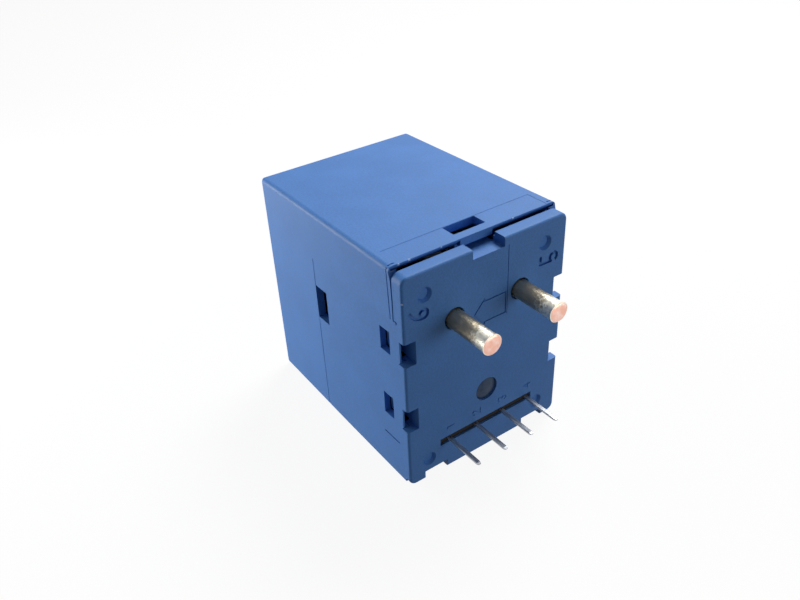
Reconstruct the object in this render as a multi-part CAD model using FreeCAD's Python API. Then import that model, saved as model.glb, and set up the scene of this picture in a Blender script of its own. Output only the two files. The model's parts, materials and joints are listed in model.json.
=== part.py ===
"""Board-mounted Hall effect current sensor, lying on one long side.

Millimetres. +Z is up, the face that sits on the circuit board looks along +X, and the pins point that
way. The origin is on the surface that the case lies on, below the middle of the whole part. A depth is
measured from the board face into the case, along -X.
"""
import FreeCAD
import Part
import math
import os

from FreeCAD import Vector

# Case
CASE_DEPTH = 29.0
COVER_HALF_WIDTH = 10.95
COVER_HEIGHT = 27.95
COVER_DRAFT = 0.0097
SIDE_WALL = 0.95
BACK_WALL = 1.2
COVER_EDGE_ROUND = 0.5

# Terminal plate
PLATE_SIDE_SETBACK = 0.07
PLATE_TOP_SETBACK = 0.52
PLATE_LIFT = 0.18
PLATE_CORNER_ROUND = 0.9
PLATE_EDGE_ROUND = 0.3
FLANGE_THICKNESS = 1.1
UPPER_FLANGE_THICKNESS = 1.6
UPPER_FLANGE_HEIGHT = 5.95
PLUG_THICKNESS = 0.8
PLUG_CLEARANCE = 0.1
SEAM_GAP = 0.05

# Front edge of the cover above the side panels
UPPER_SEAM_GAP = 0.14
UPPER_SEAM_CLOSES = 3.1
TOP_SEAM_GAP = 0.4
LEAD_IN_LAND = 0.2
CORNER_LAND = 0.3
LEAD_IN_LENGTH = 0.9
WITNESS_WIDTH = 0.14
WITNESS_DEPTH = 0.12
WITNESS_SET_BACK = 0.75
WITNESS_LEAN = 0.06
WITNESS_TOP_LENGTH = 1.0
TOP_LAND_DEPTH = 5.05
TOP_LAND_DROP = 0.03
TOP_LAND_MARGIN = 1.2

# Side panels
PANEL_SETBACK = 0.27
PANEL_BACK = 17.7
PANEL_BACK_STEP = 0.03
PANEL_BELOW_TOP = 6.2
PANEL_LINE_LEVEL = 5.1
PANEL_LINE_FRONT = 0.89
PANEL_LINE_LENGTH = 2.8
PANEL_LINE_WIDTH = 0.18
PANEL_LINE_DEPTH = 0.1

# Snap fits: windows in the cover, arms and notches on the plate
SNAP_WINDOW_FRONT = 2.85
SNAP_WINDOW_LENGTH = 1.75
SNAP_SIDE_FROM_EDGE = 9.6
SNAP_SIDE_WIDTH = 2.9
SNAP_TOP_WINDOW_FRONT = 3.1
SNAP_TOP_WINDOW_LENGTH = 1.9
SNAP_TOP_WIDTH = 4.2
SNAP_BOTTOM_FROM_SIDE = 3.75
SNAP_BOTTOM_WIDTH = 3.2
NOTCH_DEPTH = 1.46
TOP_NOTCH_DEPTH = 1.05
BOTTOM_NOTCH_DEPTH = 1.1
ARM_THICKNESS = 1.05
ARM_REACH = 2.6
ARM_SIDE_PLAY = 0.15
BARB_HEIGHT = 0.45
BARB_PLAY = 0.1
BARB_LENGTH = 1.1

# Mould window in the side panels
SIDE_WINDOW_LENGTH = 2.3
SIDE_WINDOW_HEIGHT = 4.4
SIDE_WINDOW_BELOW_PANEL_TOP = 3.55

# Primary conductor
PRIMARY_DIAMETER = 2.2
PRIMARY_SPACING = 8.9
PRIMARY_UNDER_LIMB = 0.093
PRIMARY_LENGTH = 6.0
PRIMARY_CHAMFER = 0.2
TIN_START = 1.2
TIN_THICKNESS = 0.03
PRIMARY_HOLE_PLAY = 0.03
PRIMARY_TO_CORE = 1.3
PRIMARY_COUNTERBORE = 2.6
PRIMARY_COUNTERBORE_DEPTH = 1.2
PRIMARY_BOSS_WALL = 0.9
PRIMARY_BOSS_LENGTH = 2.6
SLEEVE_WALL = 0.5
SLEEVE_PLAY = 0.02

# Secondary pins
SECONDARY_PITCH = 3.81
SECONDARY_OFFSET = 0.45
SECONDARY_WIDTH = 0.5
SECONDARY_THICKNESS = 0.25
SECONDARY_HEIGHT = 4.36
SECONDARY_LENGTH = 5.2
SECONDARY_COUNT = 4
SECONDARY_TAIL_DEPTH = 5.0
SECONDARY_TAIL_BELOW = 0.7
SECONDARY_BEND = 0.4
SLOT_HEIGHT = 0.95
SLOT_LEFT_CLEARANCE = 1.09
SLOT_RIGHT_CLEARANCE = 0.48
NOSE_SINK = 0.2
NOSE_PLAY = 0.08
STRIP_FRONT_PLAY = 0.3
STRIP_LENGTH = 1.6
STRIP_COVER = 0.5
STRIP_OVERHANG = 0.9
PIN_PLAY = 0.01

# Plate details
MARK_DIAMETER = 1.8
MARK_FLOOR_DIAMETER = 1.3
MARK_DEPTH = 0.4
MARK_INSET_SIDE = 2.9
MARK_OFFSET = -0.2
MARK_INSET_END = 2.7
DIGIT_HEIGHT = 2.4
DIGIT_WIDTH = 1.0
DIGIT_STROKE = 0.38
DIGIT_DEPTH = 0.28
DIGIT_FROM_SIDE = 2.2
DIGIT_OFFSET = -0.3
DIGIT_BELOW_TOP = 5.35
SMALL_DIGIT_HEIGHT = 1.1
SMALL_DIGIT_WIDTH = 0.65
SMALL_DIGIT_STROKE = 0.16
SMALL_DIGIT_DEPTH = 0.08
SMALL_DIGIT_ABOVE_SLOT = 1.3
ARROW_LENGTH = 4.3
ARROW_OFFSET = 0.25
ARROW_BELOW_TOP = 6.85
ARROW_HEIGHT = 3.2
ARROW_HEAD_LENGTH = 1.4
ARROW_SHAFT_INSET = 0.3
ARROW_STROKE = 0.16
ARROW_DEPTH = 0.12
LINE_OFFSET = 2.65
LINE_BELOW_TOP = 10.05
LINE_WIDTH = 0.09
LINE_DEPTH = 0.08

# Adhesive that fixes the core to the plate
PLUG_HOLE_DIAMETER = 3.0
PLUG_HOLE_LEVEL = 8.8
PLUG_SINK = 0.26
PLUG_DOME = 0.2
PLUG_BOSS_WALL = 0.7
PLUG_BOSS_PLAY = 0.3

# Core
CORE_FRONT_SHARE = 0.172
CORE_LIMB_SHARE = 0.103
CORE_OVER_BOARD = 2.6
CORE_HEADROOM = 1.95
SHEET_COUNT = 10
SHEET_THICKNESS = 0.44
SHEET_VARNISH = 0.02
AIR_GAP = 1.3
AIR_GAP_BEHIND_FRONT = 7.5
GUIDE_THICKNESS = 0.9
GUIDE_PLAY = 0.05
GUIDE_OVERLAP = 2.0
GUIDE_HEIGHT = 7.0

# Winding
BOBBIN_PLAY = 0.1
BOBBIN_WALL = 0.7
BOBBIN_FLANGE = 0.8
BOBBIN_END_PLAY = 0.1
SLEEVE_TO_BOBBIN_SHARE = 0.058
WINDING_PLAY = 0.02
WINDING_ROUND = 1.2
FLANGE_OVERHANG_SHARE = 0.031
REAR_CLEARANCE = 1.0
TAPE_THICKNESS = 0.12
LEG_SIDE = 1.4
TERMINAL_THICKNESS = 0.6
TERMINAL_ABOVE = 1.3
TERMINAL_BELOW = 0.7
LEAD_DIAMETER = 0.24
LEAD_RUN = 2.4

# Circuit board
BOARD_THICKNESS = 1.0
BOARD_TOP = 3.8
BOARD_FRONT = 3.0
BOARD_REAR_PLAY = 0.5
BOARD_SIDE_PLAY = 0.3
BOARD_HOLE_PLAY = 0.05
RAIL_WIDTH = 1.0
RAIL_PLAY = 0.05

# Parts on the board
HALL_WIDTH = 4.0
HALL_THICKNESS = 1.1
HALL_LIFT = 0.1
HALL_HEIGHT = 2.8
HALL_LEAD_PITCH = 1.0
HALL_LEAD_WIDTH = 0.4
HALL_LEAD_THICKNESS = 0.3
HALL_LEAD_BELOW = 0.6
IC_LENGTH = 4.9
IC_WIDTH = 3.9
IC_HEIGHT = 1.5
IC_SPAN = 6.0
IC_LEAD_PITCH = 1.27
IC_LEAD_WIDTH = 0.42
IC_LEAD_THICKNESS = 0.25
IC_STAND_OFF = 0.12
IC_DEPTH = 9.6
IC_FROM_EDGE = 1.0
TRANSISTOR_LENGTH = 2.5
TRANSISTOR_WIDTH = 4.5
TRANSISTOR_HEIGHT = 1.5
TRANSISTOR_CHAMFER = 0.15
TRANSISTOR_DEPTH = 7.4
TRANSISTOR_TO_LEG = 0.6
TRANSISTOR_FROM_EDGE = 1.4
CAPACITOR_LENGTH = 3.5
CAPACITOR_WIDTH = 2.8
CAPACITOR_HEIGHT = 1.9
CAPACITOR_TO_RESISTOR = 0.6
DIODE_LENGTH = 2.6
DIODE_WIDTH = 4.3
DIODE_HEIGHT = 2.1
DIODE_STEP = 3.8
RESISTOR_LENGTH = 3.2
RESISTOR_WIDTH = 1.6
RESISTOR_HEIGHT = 0.6
RESISTOR_CHAMFER = 0.05
RESISTOR_FROM_EDGE = 0.2

# Derived places
PART_LENGTH = CASE_DEPTH + PRIMARY_LENGTH
SEAT_X = PART_LENGTH / 2 - PRIMARY_LENGTH
PLATE_HALF_WIDTH = COVER_HALF_WIDTH - PLATE_SIDE_SETBACK
PLATE_BOTTOM = PLATE_LIFT
PLATE_TOP = COVER_HEIGHT - PLATE_TOP_SETBACK
UPPER_FLANGE_FROM = COVER_HEIGHT - UPPER_FLANGE_HEIGHT
PANEL_HALF_WIDTH = COVER_HALF_WIDTH - PANEL_SETBACK
PANEL_BACK_HALF_WIDTH = COVER_HALF_WIDTH - COVER_DRAFT * (PANEL_BACK - FLANGE_THICKNESS - SEAM_GAP) - PANEL_BACK_STEP
PANEL_TOP = COVER_HEIGHT - PANEL_BELOW_TOP
SIDE_WINDOW_TOP = PANEL_TOP - SIDE_WINDOW_BELOW_PANEL_TOP
SNAP_SIDE_HEIGHTS = (SNAP_SIDE_FROM_EDGE, COVER_HEIGHT - SNAP_SIDE_FROM_EDGE)
SNAP_BOTTOM_OFFSET = COVER_HALF_WIDTH - SNAP_BOTTOM_FROM_SIDE
COVER_FRONT = FLANGE_THICKNESS + SEAM_GAP
CAVITY_HALF_WIDTH = COVER_HALF_WIDTH - SIDE_WALL
CAVITY_BOTTOM = SIDE_WALL
CAVITY_TOP = COVER_HEIGHT - SIDE_WALL
CAVITY_BACK = CASE_DEPTH - BACK_WALL
PLUG_BACK = FLANGE_THICKNESS + PLUG_THICKNESS
PLUG_MARGIN = COVER_DRAFT * (PLUG_BACK - COVER_FRONT) + PLUG_CLEARANCE
PLUG_HALF_WIDTH = CAVITY_HALF_WIDTH - PLUG_MARGIN
PLUG_BOTTOM = CAVITY_BOTTOM + PLUG_MARGIN
PLUG_TOP = CAVITY_TOP - PLUG_MARGIN
BOARD_BOTTOM = BOARD_TOP - BOARD_THICKNESS
BOARD_BACK = CAVITY_BACK - BOARD_REAR_PLAY
BOARD_HALF_WIDTH = CAVITY_HALF_WIDTH - COVER_DRAFT * CAVITY_BACK - BOARD_SIDE_PLAY
CORE_FRONT = CORE_FRONT_SHARE * CASE_DEPTH
CORE_LIMB = CORE_LIMB_SHARE * CASE_DEPTH
CORE_BOTTOM = BOARD_TOP + CORE_OVER_BOARD
CORE_TOP = CAVITY_TOP - CORE_HEADROOM
AIR_GAP_DEPTH = CORE_FRONT + AIR_GAP_BEHIND_FRONT
STACK_HALF = SHEET_COUNT * (SHEET_THICKNESS + SHEET_VARNISH) / 2
BEND_RADIUS = PRIMARY_SPACING / 2
PRIMARY_SIDES = (-PRIMARY_SPACING / 2, PRIMARY_SPACING / 2)
SLEEVE_RADIUS = PRIMARY_DIAMETER / 2 + SLEEVE_PLAY + SLEEVE_WALL
PRIMARY_HEIGHT = CORE_TOP - CORE_LIMB - PRIMARY_UNDER_LIMB - SLEEVE_RADIUS
GUIDE_MIDDLE = (CORE_BOTTOM + PRIMARY_HEIGHT) / 2
CROSSING_DEPTH = CORE_FRONT + CORE_LIMB + PRIMARY_TO_CORE + SLEEVE_RADIUS
BEND_DEPTH = CROSSING_DEPTH - BEND_RADIUS
FLANGE_FRONT = CROSSING_DEPTH + SLEEVE_RADIUS + SLEEVE_TO_BOBBIN_SHARE * CASE_DEPTH
FLANGE_OVERHANG = FLANGE_OVERHANG_SHARE * CASE_DEPTH
FLANGE_BACK = CAVITY_BACK - REAR_CLEARANCE
TUBE_GROWTH = BOBBIN_PLAY + BOBBIN_WALL
LIMB_BACK_FRONT = (FLANGE_FRONT + FLANGE_BACK - CORE_LIMB) / 2
CORE_BACK = LIMB_BACK_FRONT + CORE_LIMB
TUBE_HALF_WIDTH = STACK_HALF + TUBE_GROWTH
TUBE_FRONT = LIMB_BACK_FRONT - TUBE_GROWTH
TUBE_BACK = CORE_BACK + TUBE_GROWTH
WINDING_FRONT = FLANGE_FRONT + FLANGE_OVERHANG
WINDING_BACK = FLANGE_BACK - FLANGE_OVERHANG
WINDING_BUILD = TUBE_FRONT - WINDING_PLAY - WINDING_FRONT
BOBBIN_BOTTOM = CORE_BOTTOM + CORE_LIMB + BOBBIN_END_PLAY
BOBBIN_TOP = CORE_TOP - CORE_LIMB - BOBBIN_END_PLAY
WINDING_HALF_WIDTH = TUBE_HALF_WIDTH + WINDING_PLAY + WINDING_BUILD
FLANGE_HALF_WIDTH = WINDING_HALF_WIDTH + FLANGE_OVERHANG
SECONDARY_SIDES = [
    SECONDARY_OFFSET + (i - (SECONDARY_COUNT - 1) / 2) * SECONDARY_PITCH for i in range(SECONDARY_COUNT)
]
SLOT_LEFT = SECONDARY_SIDES[0] - SECONDARY_WIDTH / 2 - SLOT_LEFT_CLEARANCE
SLOT_RIGHT = SECONDARY_SIDES[-1] + SECONDARY_WIDTH / 2 + SLOT_RIGHT_CLEARANCE
TERMINAL_SIDES = (-FLANGE_HALF_WIDTH + LEG_SIDE / 2, FLANGE_HALF_WIDTH - LEG_SIDE / 2)
TERMINAL_DEPTH = FLANGE_FRONT + LEG_SIDE / 2


def at(depth):
    """X of a depth behind the board face."""
    return SEAT_X - depth


def block(depth_0, depth_1, y_0, y_1, z_0, z_1):
    """A box between two depths, two sideways places and two heights."""
    corner = Vector(at(depth_1), y_0, z_0)
    return Part.makeBox(depth_1 - depth_0, y_1 - y_0, z_1 - z_0, corner)


def mirrored_block(depth_0, depth_1, side, y_0, y_1, z_0, z_1):
    """A block whose sideways places count outwards on the given side."""
    low, high = sorted((side * y_0, side * y_1))
    return block(depth_0, depth_1, low, high, z_0, z_1)


def rod(radius, depth_0, depth_1, y, z):
    """A cylinder along X between two depths."""
    return Part.makeCylinder(radius, depth_1 - depth_0, Vector(at(depth_1), y, z), Vector(1, 0, 0))


def extrude_outline(corners, direction):
    """A prism from a closed outline of points."""
    wire = Part.makePolygon([Vector(*corner) for corner in corners + corners[:1]])
    return Part.Face(wire).extrude(Vector(*direction))


def fillet_where(shape, radius, wanted):
    """Rounds every edge whose middle and direction pass the test."""
    edges = []
    for edge in shape.Edges:
        start, end = edge.firstVertex().Point, edge.lastVertex().Point
        if wanted((start + end) * 0.5, end - start):
            edges.append(edge)
    return shape.makeFillet(radius, edges)


def drafted_block(inset, depth_front, depth_back):
    """The cover's tapering outline, moved in by an inset, between two depths."""
    wires = []
    for depth in (depth_front, depth_back):
        shrink = inset + COVER_DRAFT * (depth - COVER_FRONT)
        half, low, high = COVER_HALF_WIDTH - shrink, shrink, COVER_HEIGHT - shrink
        corners = [(-half, low), (half, low), (half, high), (-half, high), (-half, low)]
        wires.append(Part.makePolygon([Vector(at(depth), y, z) for y, z in corners]))
    return Part.makeLoft(wires, True, True)


def snap_places():
    """Each snap fit: the wall it is in, its middle along that wall and its width."""
    places = [("side", side, height) for side in (-1, 1) for height in SNAP_SIDE_HEIGHTS]
    places.append(("top", 0, 0.0))
    places += [("bottom", side, side * SNAP_BOTTOM_OFFSET) for side in (-1, 1)]
    return places


def snap_block(place, depth_0, depth_1, inner, outer, trim):
    """A block at a snap fit, between two distances out from the plug's surface."""
    wall, side, middle = place
    if wall == "side":
        half = SNAP_SIDE_WIDTH / 2 - trim
        low, high = PLUG_HALF_WIDTH + inner, PLUG_HALF_WIDTH + outer
        return mirrored_block(depth_0, depth_1, side, low, high, middle - half, middle + half)
    if wall == "top":
        half = SNAP_TOP_WIDTH / 2 - trim
        return block(depth_0, depth_1, -half, half, PLUG_TOP + inner, PLUG_TOP + outer)
    half = SNAP_BOTTOM_WIDTH / 2 - trim
    return block(depth_0, depth_1, middle - half, middle + half, PLUG_BOTTOM - outer, PLUG_BOTTOM - inner)


def window_front(place):
    return SNAP_TOP_WINDOW_FRONT if place[0] == "top" else SNAP_WINDOW_FRONT


def window_length(place):
    return SNAP_TOP_WINDOW_LENGTH if place[0] == "top" else SNAP_WINDOW_LENGTH


def barb(place):
    """The wedge on a snap arm: a latch face towards the front and a ramp towards the back."""
    wall, side, middle = place
    front = window_front(place) + BARB_PLAY
    back = front + BARB_LENGTH
    profile = [(front, 0.0), (front, BARB_HEIGHT), (front + BARB_PLAY, BARB_HEIGHT), (back, 0.0)]
    if wall == "side":
        half = SNAP_SIDE_WIDTH / 2 - ARM_SIDE_PLAY
        base = side * PLUG_HALF_WIDTH
        corners = [(at(d), base + side * h, middle - half) for d, h in profile]
        return extrude_outline(corners, (0, 0, 2 * half))
    if wall == "top":
        half = SNAP_TOP_WIDTH / 2 - ARM_SIDE_PLAY
        corners = [(at(d), -half, PLUG_TOP + h) for d, h in profile]
        return extrude_outline(corners, (0, 2 * half, 0))
    half = SNAP_BOTTOM_WIDTH / 2 - ARM_SIDE_PLAY
    corners = [(at(d), middle - half, PLUG_BOTTOM - h) for d, h in profile]
    return extrude_outline(corners, (0, 2 * half, 0))


def outer_skin(thickness, depth_front, depth_back):
    """The cover's outermost layer, for shallow steps and lines."""
    return drafted_block(-1.0, depth_front, depth_back).cut(drafted_block(thickness, -1.0, CASE_DEPTH))


def witness_line():
    """The fine line round both upper front corners, left by the mould."""
    low_depth = UPPER_FLANGE_THICKNESS + WITNESS_SET_BACK - WITNESS_LEAN * (COVER_HEIGHT - UPPER_FLANGE_FROM)
    high_depth = UPPER_FLANGE_THICKNESS + WITNESS_SET_BACK
    corners = [
        (at(low_depth), -COVER_HALF_WIDTH - 1, UPPER_FLANGE_FROM),
        (at(low_depth + WITNESS_WIDTH), -COVER_HALF_WIDTH - 1, UPPER_FLANGE_FROM),
        (at(high_depth + WITNESS_WIDTH), -COVER_HALF_WIDTH - 1, COVER_HEIGHT + 1),
        (at(high_depth), -COVER_HALF_WIDTH - 1, COVER_HEIGHT + 1),
    ]
    slab = extrude_outline(corners, (0, 2 * COVER_HALF_WIDTH + 2, 0))
    middle = COVER_HALF_WIDTH - WITNESS_TOP_LENGTH
    slab = slab.cut(block(0, CASE_DEPTH, -middle, middle, 0, COVER_HEIGHT + 2))
    return slab.common(outer_skin(WITNESS_DEPTH, 0, CASE_DEPTH))


def side_panel(side):
    """The flat field on one long side, open at the bottom, which runs out towards its back edge."""
    outer = side * (COVER_HALF_WIDTH + 1)
    slope = (PANEL_BACK_HALF_WIDTH - PANEL_HALF_WIDTH) / (PANEL_BACK - COVER_FRONT)
    inner_front = side * (PANEL_HALF_WIDTH - slope * COVER_FRONT)
    corners = [(at(0), outer, -1), (at(PANEL_BACK), outer, -1),
               (at(PANEL_BACK), side * PANEL_BACK_HALF_WIDTH, -1), (at(0), inner_front, -1)]
    return extrude_outline(corners, (0, 0, PANEL_TOP + 1))


def top_land():
    """The slightly lower field on the top, in front of a line through the window's back edge."""
    half = COVER_HALF_WIDTH - TOP_LAND_MARGIN
    field = block(-1, TOP_LAND_DEPTH, -half, half, COVER_HEIGHT - SIDE_WALL, COVER_HEIGHT + 2)
    return field.common(outer_skin(TOP_LAND_DROP, 0, CASE_DEPTH))


def side_lead_in():
    """The inner bevels of the cover's front edge in front of the side snap windows."""
    rise = PANEL_HALF_WIDTH - LEAD_IN_LAND - CAVITY_HALF_WIDTH
    bevels = []
    for place in snap_places():
        if place[0] != "side":
            continue
        side, low = place[1], place[2] - SNAP_SIDE_WIDTH / 2
        corners = [
            (at(COVER_FRONT), side * (CAVITY_HALF_WIDTH - PLUG_CLEARANCE), low),
            (at(COVER_FRONT), side * (CAVITY_HALF_WIDTH + rise), low),
            (at(COVER_FRONT + LEAD_IN_LENGTH), side * (CAVITY_HALF_WIDTH - PLUG_CLEARANCE), low),
        ]
        bevels.append(extrude_outline(corners, (0, 0, SNAP_SIDE_WIDTH)))
    return bevels


def upper_front_edge():
    """The cut that sets back the cover's upper front edge: tight at its lower end, wide along the top."""
    tight = UPPER_FLANGE_THICKNESS + SEAM_GAP
    wide = UPPER_FLANGE_THICKNESS + TOP_SEAM_GAP
    corners = [
        (at(-1), -COVER_HALF_WIDTH - 1, UPPER_FLANGE_FROM),
        (at(tight), -COVER_HALF_WIDTH - 1, UPPER_FLANGE_FROM),
        (at(tight), -COVER_HALF_WIDTH - 1, PLATE_TOP - UPPER_SEAM_CLOSES),
        (at(UPPER_FLANGE_THICKNESS + UPPER_SEAM_GAP), -COVER_HALF_WIDTH - 1, PLATE_TOP - PLATE_CORNER_ROUND),
        (at(wide), -COVER_HALF_WIDTH - 1, PLATE_TOP),
        (at(wide), -COVER_HALF_WIDTH - 1, COVER_HEIGHT + 1),
        (at(-1), -COVER_HALF_WIDTH - 1, COVER_HEIGHT + 1),
    ]
    return extrude_outline(corners, (0, 2 * COVER_HALF_WIDTH + 2, 0))


def lead_in():
    """The inner bevel of the cover's top front edge, which leaves the middle whole."""
    front = UPPER_FLANGE_THICKNESS + TOP_SEAM_GAP
    rise = SIDE_WALL - LEAD_IN_LAND
    half = COVER_HALF_WIDTH - CORNER_LAND
    bevel = []
    for low, high in ((-half, -SNAP_TOP_WIDTH / 2), (SNAP_TOP_WIDTH / 2, half)):
        corners = [
            (at(front), low, CAVITY_TOP - PLUG_CLEARANCE),
            (at(front), low, CAVITY_TOP + rise),
            (at(front + rise), low, CAVITY_TOP - PLUG_CLEARANCE),
        ]
        bevel.append(extrude_outline(corners, (0, high - low, 0)))
    return bevel


def housing_cover():
    outer = drafted_block(0.0, COVER_FRONT, CASE_DEPTH)
    front_x = at(COVER_FRONT)
    outer = fillet_where(outer, COVER_EDGE_ROUND, lambda middle, run: middle.x < front_x - 0.1)
    cover = outer.cut(drafted_block(SIDE_WALL, -1.0, CAVITY_BACK))
    cuts = []
    for side in (-1, 1):
        cuts.append(side_panel(side))
        line_front = COVER_FRONT + PANEL_LINE_FRONT
        cuts.append(mirrored_block(line_front, line_front + PANEL_LINE_LENGTH, side,
                                   PANEL_HALF_WIDTH - PANEL_LINE_DEPTH, COVER_HALF_WIDTH + 1,
                                   PANEL_LINE_LEVEL, PANEL_LINE_LEVEL + PANEL_LINE_WIDTH))
        cuts.append(mirrored_block(PANEL_BACK - SIDE_WINDOW_LENGTH, PANEL_BACK, side,
                                   CAVITY_HALF_WIDTH - 1, COVER_HALF_WIDTH + 1,
                                   SIDE_WINDOW_TOP - SIDE_WINDOW_HEIGHT, SIDE_WINDOW_TOP))
    for place in snap_places():
        start = window_front(place)
        cuts.append(snap_block(place, start, start + window_length(place), -SIDE_WALL, 2 * SIDE_WALL + 1, 0.0))
    cuts.append(upper_front_edge())
    cuts.append(block(0, UPPER_FLANGE_THICKNESS + TOP_SEAM_GAP, -CAVITY_HALF_WIDTH, CAVITY_HALF_WIDTH,
                      CAVITY_TOP - SIDE_WALL, COVER_HEIGHT + 1))
    cuts += lead_in() + side_lead_in()
    cuts.append(witness_line())
    cuts.append(top_land())
    for cut in cuts:
        cover = cover.cut(cut)
    rails = []
    for side in (-1, 1):
        rail_top = BOARD_BOTTOM - RAIL_PLAY
        rails.append(mirrored_block(PLUG_BACK + ARM_REACH + 1, CAVITY_BACK + BACK_WALL / 2, side,
                                    CAVITY_HALF_WIDTH - RAIL_WIDTH, CAVITY_HALF_WIDTH + SIDE_WALL / 3,
                                    CAVITY_BOTTOM - SIDE_WALL / 3, rail_top))
    for rail in rails:
        cover = cover.fuse(rail)
    return cover.removeSplitter()


def stroke(y_0, z_0, y_1, z_1, width, depth):
    """An engraved line with round ends on the board face."""
    length = math.hypot(y_1 - y_0, z_1 - z_0)
    turn = math.degrees(math.atan2(z_1 - z_0, y_1 - y_0))
    bar = Part.makeBox(depth + 1, length, width, Vector(0, 0, -width / 2))
    bar.rotate(Vector(0, 0, 0), Vector(1, 0, 0), turn)
    bar.translate(Vector(SEAT_X - depth, y_0, z_0))
    ends = [rod(width / 2, -1, depth, y, z) for y, z in ((y_0, z_0), (y_1, z_1))]
    return bar.fuse(ends)


def arc_stroke(y, z, radius, start, sweep, width, depth):
    """An engraved arc on the board face, its angles from +Y towards +Z."""
    outer = Part.makeCylinder(radius + width / 2, depth + 1, Vector(0, 0, 0), Vector(0, 0, 1), sweep)
    inner = Part.makeCylinder(radius - width / 2, depth + 1, Vector(0, 0, 0), Vector(0, 0, 1))
    ring = outer.cut(inner)
    ring.rotate(Vector(0, 0, 0), Vector(0, 0, 1), start)
    # stand the ring's XY plane up in the YZ plane
    ring.rotate(Vector(0, 0, 0), Vector(1, 1, 1), 120)
    ring.translate(Vector(SEAT_X - depth, y, z))
    return ring


def digit(number, y, z, height, width, line, depth):
    """One engraved plain number, its top towards -Y and its right side up."""
    radius = width / 2

    def place(across, up):
        return y - (up - height / 2), z + (across - width / 2)

    def line_between(a, b):
        return stroke(*place(*a), *place(*b), line, depth)

    def arc(across, up, size, start, sweep):
        # a glyph angle of 0 points right, which is +Z here, and 90 points up, which is -Y
        centre = place(across, up)
        return arc_stroke(centre[0], centre[1], size, start + 90, sweep, line, depth)

    high = height - radius
    if number == 1:
        return [line_between((radius, 0), (radius, height)),
                line_between((radius, height), (0.2 * width, 0.78 * height))]
    if number == 2:
        return [arc(radius, high, radius, 0, 180), line_between((width, high), (0, 0)),
                line_between((0, 0), (width, 0))]
    if number == 3:
        small = height / 4
        return [arc(radius, small, small, -160, 250), arc(radius, height - small, small, -90, 250)]
    if number == 4:
        return [line_between((0.75 * width, 0), (0.75 * width, height)),
                line_between((0.75 * width, height), (0, 0.35 * height)),
                line_between((0, 0.35 * height), (width, 0.35 * height))]
    if number == 5:
        return [arc(radius, radius, radius, -150, 270),
                line_between((0.12 * width, height), (0.06 * width, radius * 1.7)),
                line_between((0.12 * width, height), (0.92 * width, height))]
    sweep_radius = height - radius
    return [arc(radius, radius, radius, 0, 360), arc(sweep_radius, radius, sweep_radius, 112, 68)]


def current_arrow():
    """The outline of a short broad arrow that points from pin 5 to pin 6."""
    middle = COVER_HEIGHT - ARROW_BELOW_TOP - ARROW_HEIGHT / 2
    tip = ARROW_OFFSET - ARROW_LENGTH / 2
    end_of_shaft = tip + ARROW_LENGTH
    neck = tip + ARROW_HEAD_LENGTH
    half_outline = [(tip, 0.0), (neck, ARROW_HEIGHT / 2), (neck, ARROW_HEIGHT / 2 - ARROW_SHAFT_INSET),
                    (end_of_shaft, ARROW_HEIGHT / 2 - ARROW_SHAFT_INSET), (end_of_shaft, 0.0)]
    strokes = []
    for side in (-1, 1):
        for start, end in zip(half_outline, half_outline[1:]):
            strokes.append(stroke(start[0], middle + side * start[1], end[0], middle + side * end[1],
                                  ARROW_STROKE, ARROW_DEPTH))
    return strokes


def engraving():
    """Plain numbers by the pins, the current arrow and the mould's line, as cuts."""
    cuts = []
    for number, side in ((5, 1), (6, -1)):
        cuts += digit(number, side * (COVER_HALF_WIDTH - DIGIT_FROM_SIDE) + DIGIT_OFFSET,
                      COVER_HEIGHT - DIGIT_BELOW_TOP, DIGIT_HEIGHT, DIGIT_WIDTH, DIGIT_STROKE, DIGIT_DEPTH)
    small_level = SECONDARY_HEIGHT + SLOT_HEIGHT / 2 + SMALL_DIGIT_ABOVE_SLOT
    for number, y in enumerate(SECONDARY_SIDES, 1):
        cuts += digit(number, y, small_level, SMALL_DIGIT_HEIGHT, SMALL_DIGIT_WIDTH,
                      SMALL_DIGIT_STROKE, SMALL_DIGIT_DEPTH)
    cuts += current_arrow()
    cuts.append(stroke(LINE_OFFSET, COVER_HEIGHT - LINE_BELOW_TOP, LINE_OFFSET, PLATE_TOP - TOP_NOTCH_DEPTH,
                       LINE_WIDTH, LINE_DEPTH))
    return cuts


def round_marks():
    """Four shallow round dishes near the corners of the board face."""
    marks = []
    for side in (-1, 1):
        for level in (PLATE_BOTTOM + MARK_INSET_END, PLATE_TOP - MARK_INSET_END):
            floor = Vector(at(MARK_DEPTH), side * (PLATE_HALF_WIDTH - MARK_INSET_SIDE) + MARK_OFFSET, level)
            marks.append(Part.makeCone(MARK_FLOOR_DIAMETER / 2, MARK_DIAMETER / 2, MARK_DEPTH, floor,
                                       Vector(1, 0, 0)))
    return marks


def plate_notches():
    """Notches in the plate's edges, which reach back to each barb."""
    cuts = []
    for place in snap_places():
        reach = window_front(place) + BARB_PLAY
        if place[0] == "side":
            floor = PLATE_HALF_WIDTH - NOTCH_DEPTH - PLUG_HALF_WIDTH
        elif place[0] == "top":
            floor = PLATE_TOP - TOP_NOTCH_DEPTH - PLUG_TOP
        else:
            floor = PLUG_BOTTOM - PLATE_BOTTOM - BOTTOM_NOTCH_DEPTH
        cuts.append(snap_block(place, -1, reach, floor, SIDE_WALL + 2, 0.0))
    return cuts


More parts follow.
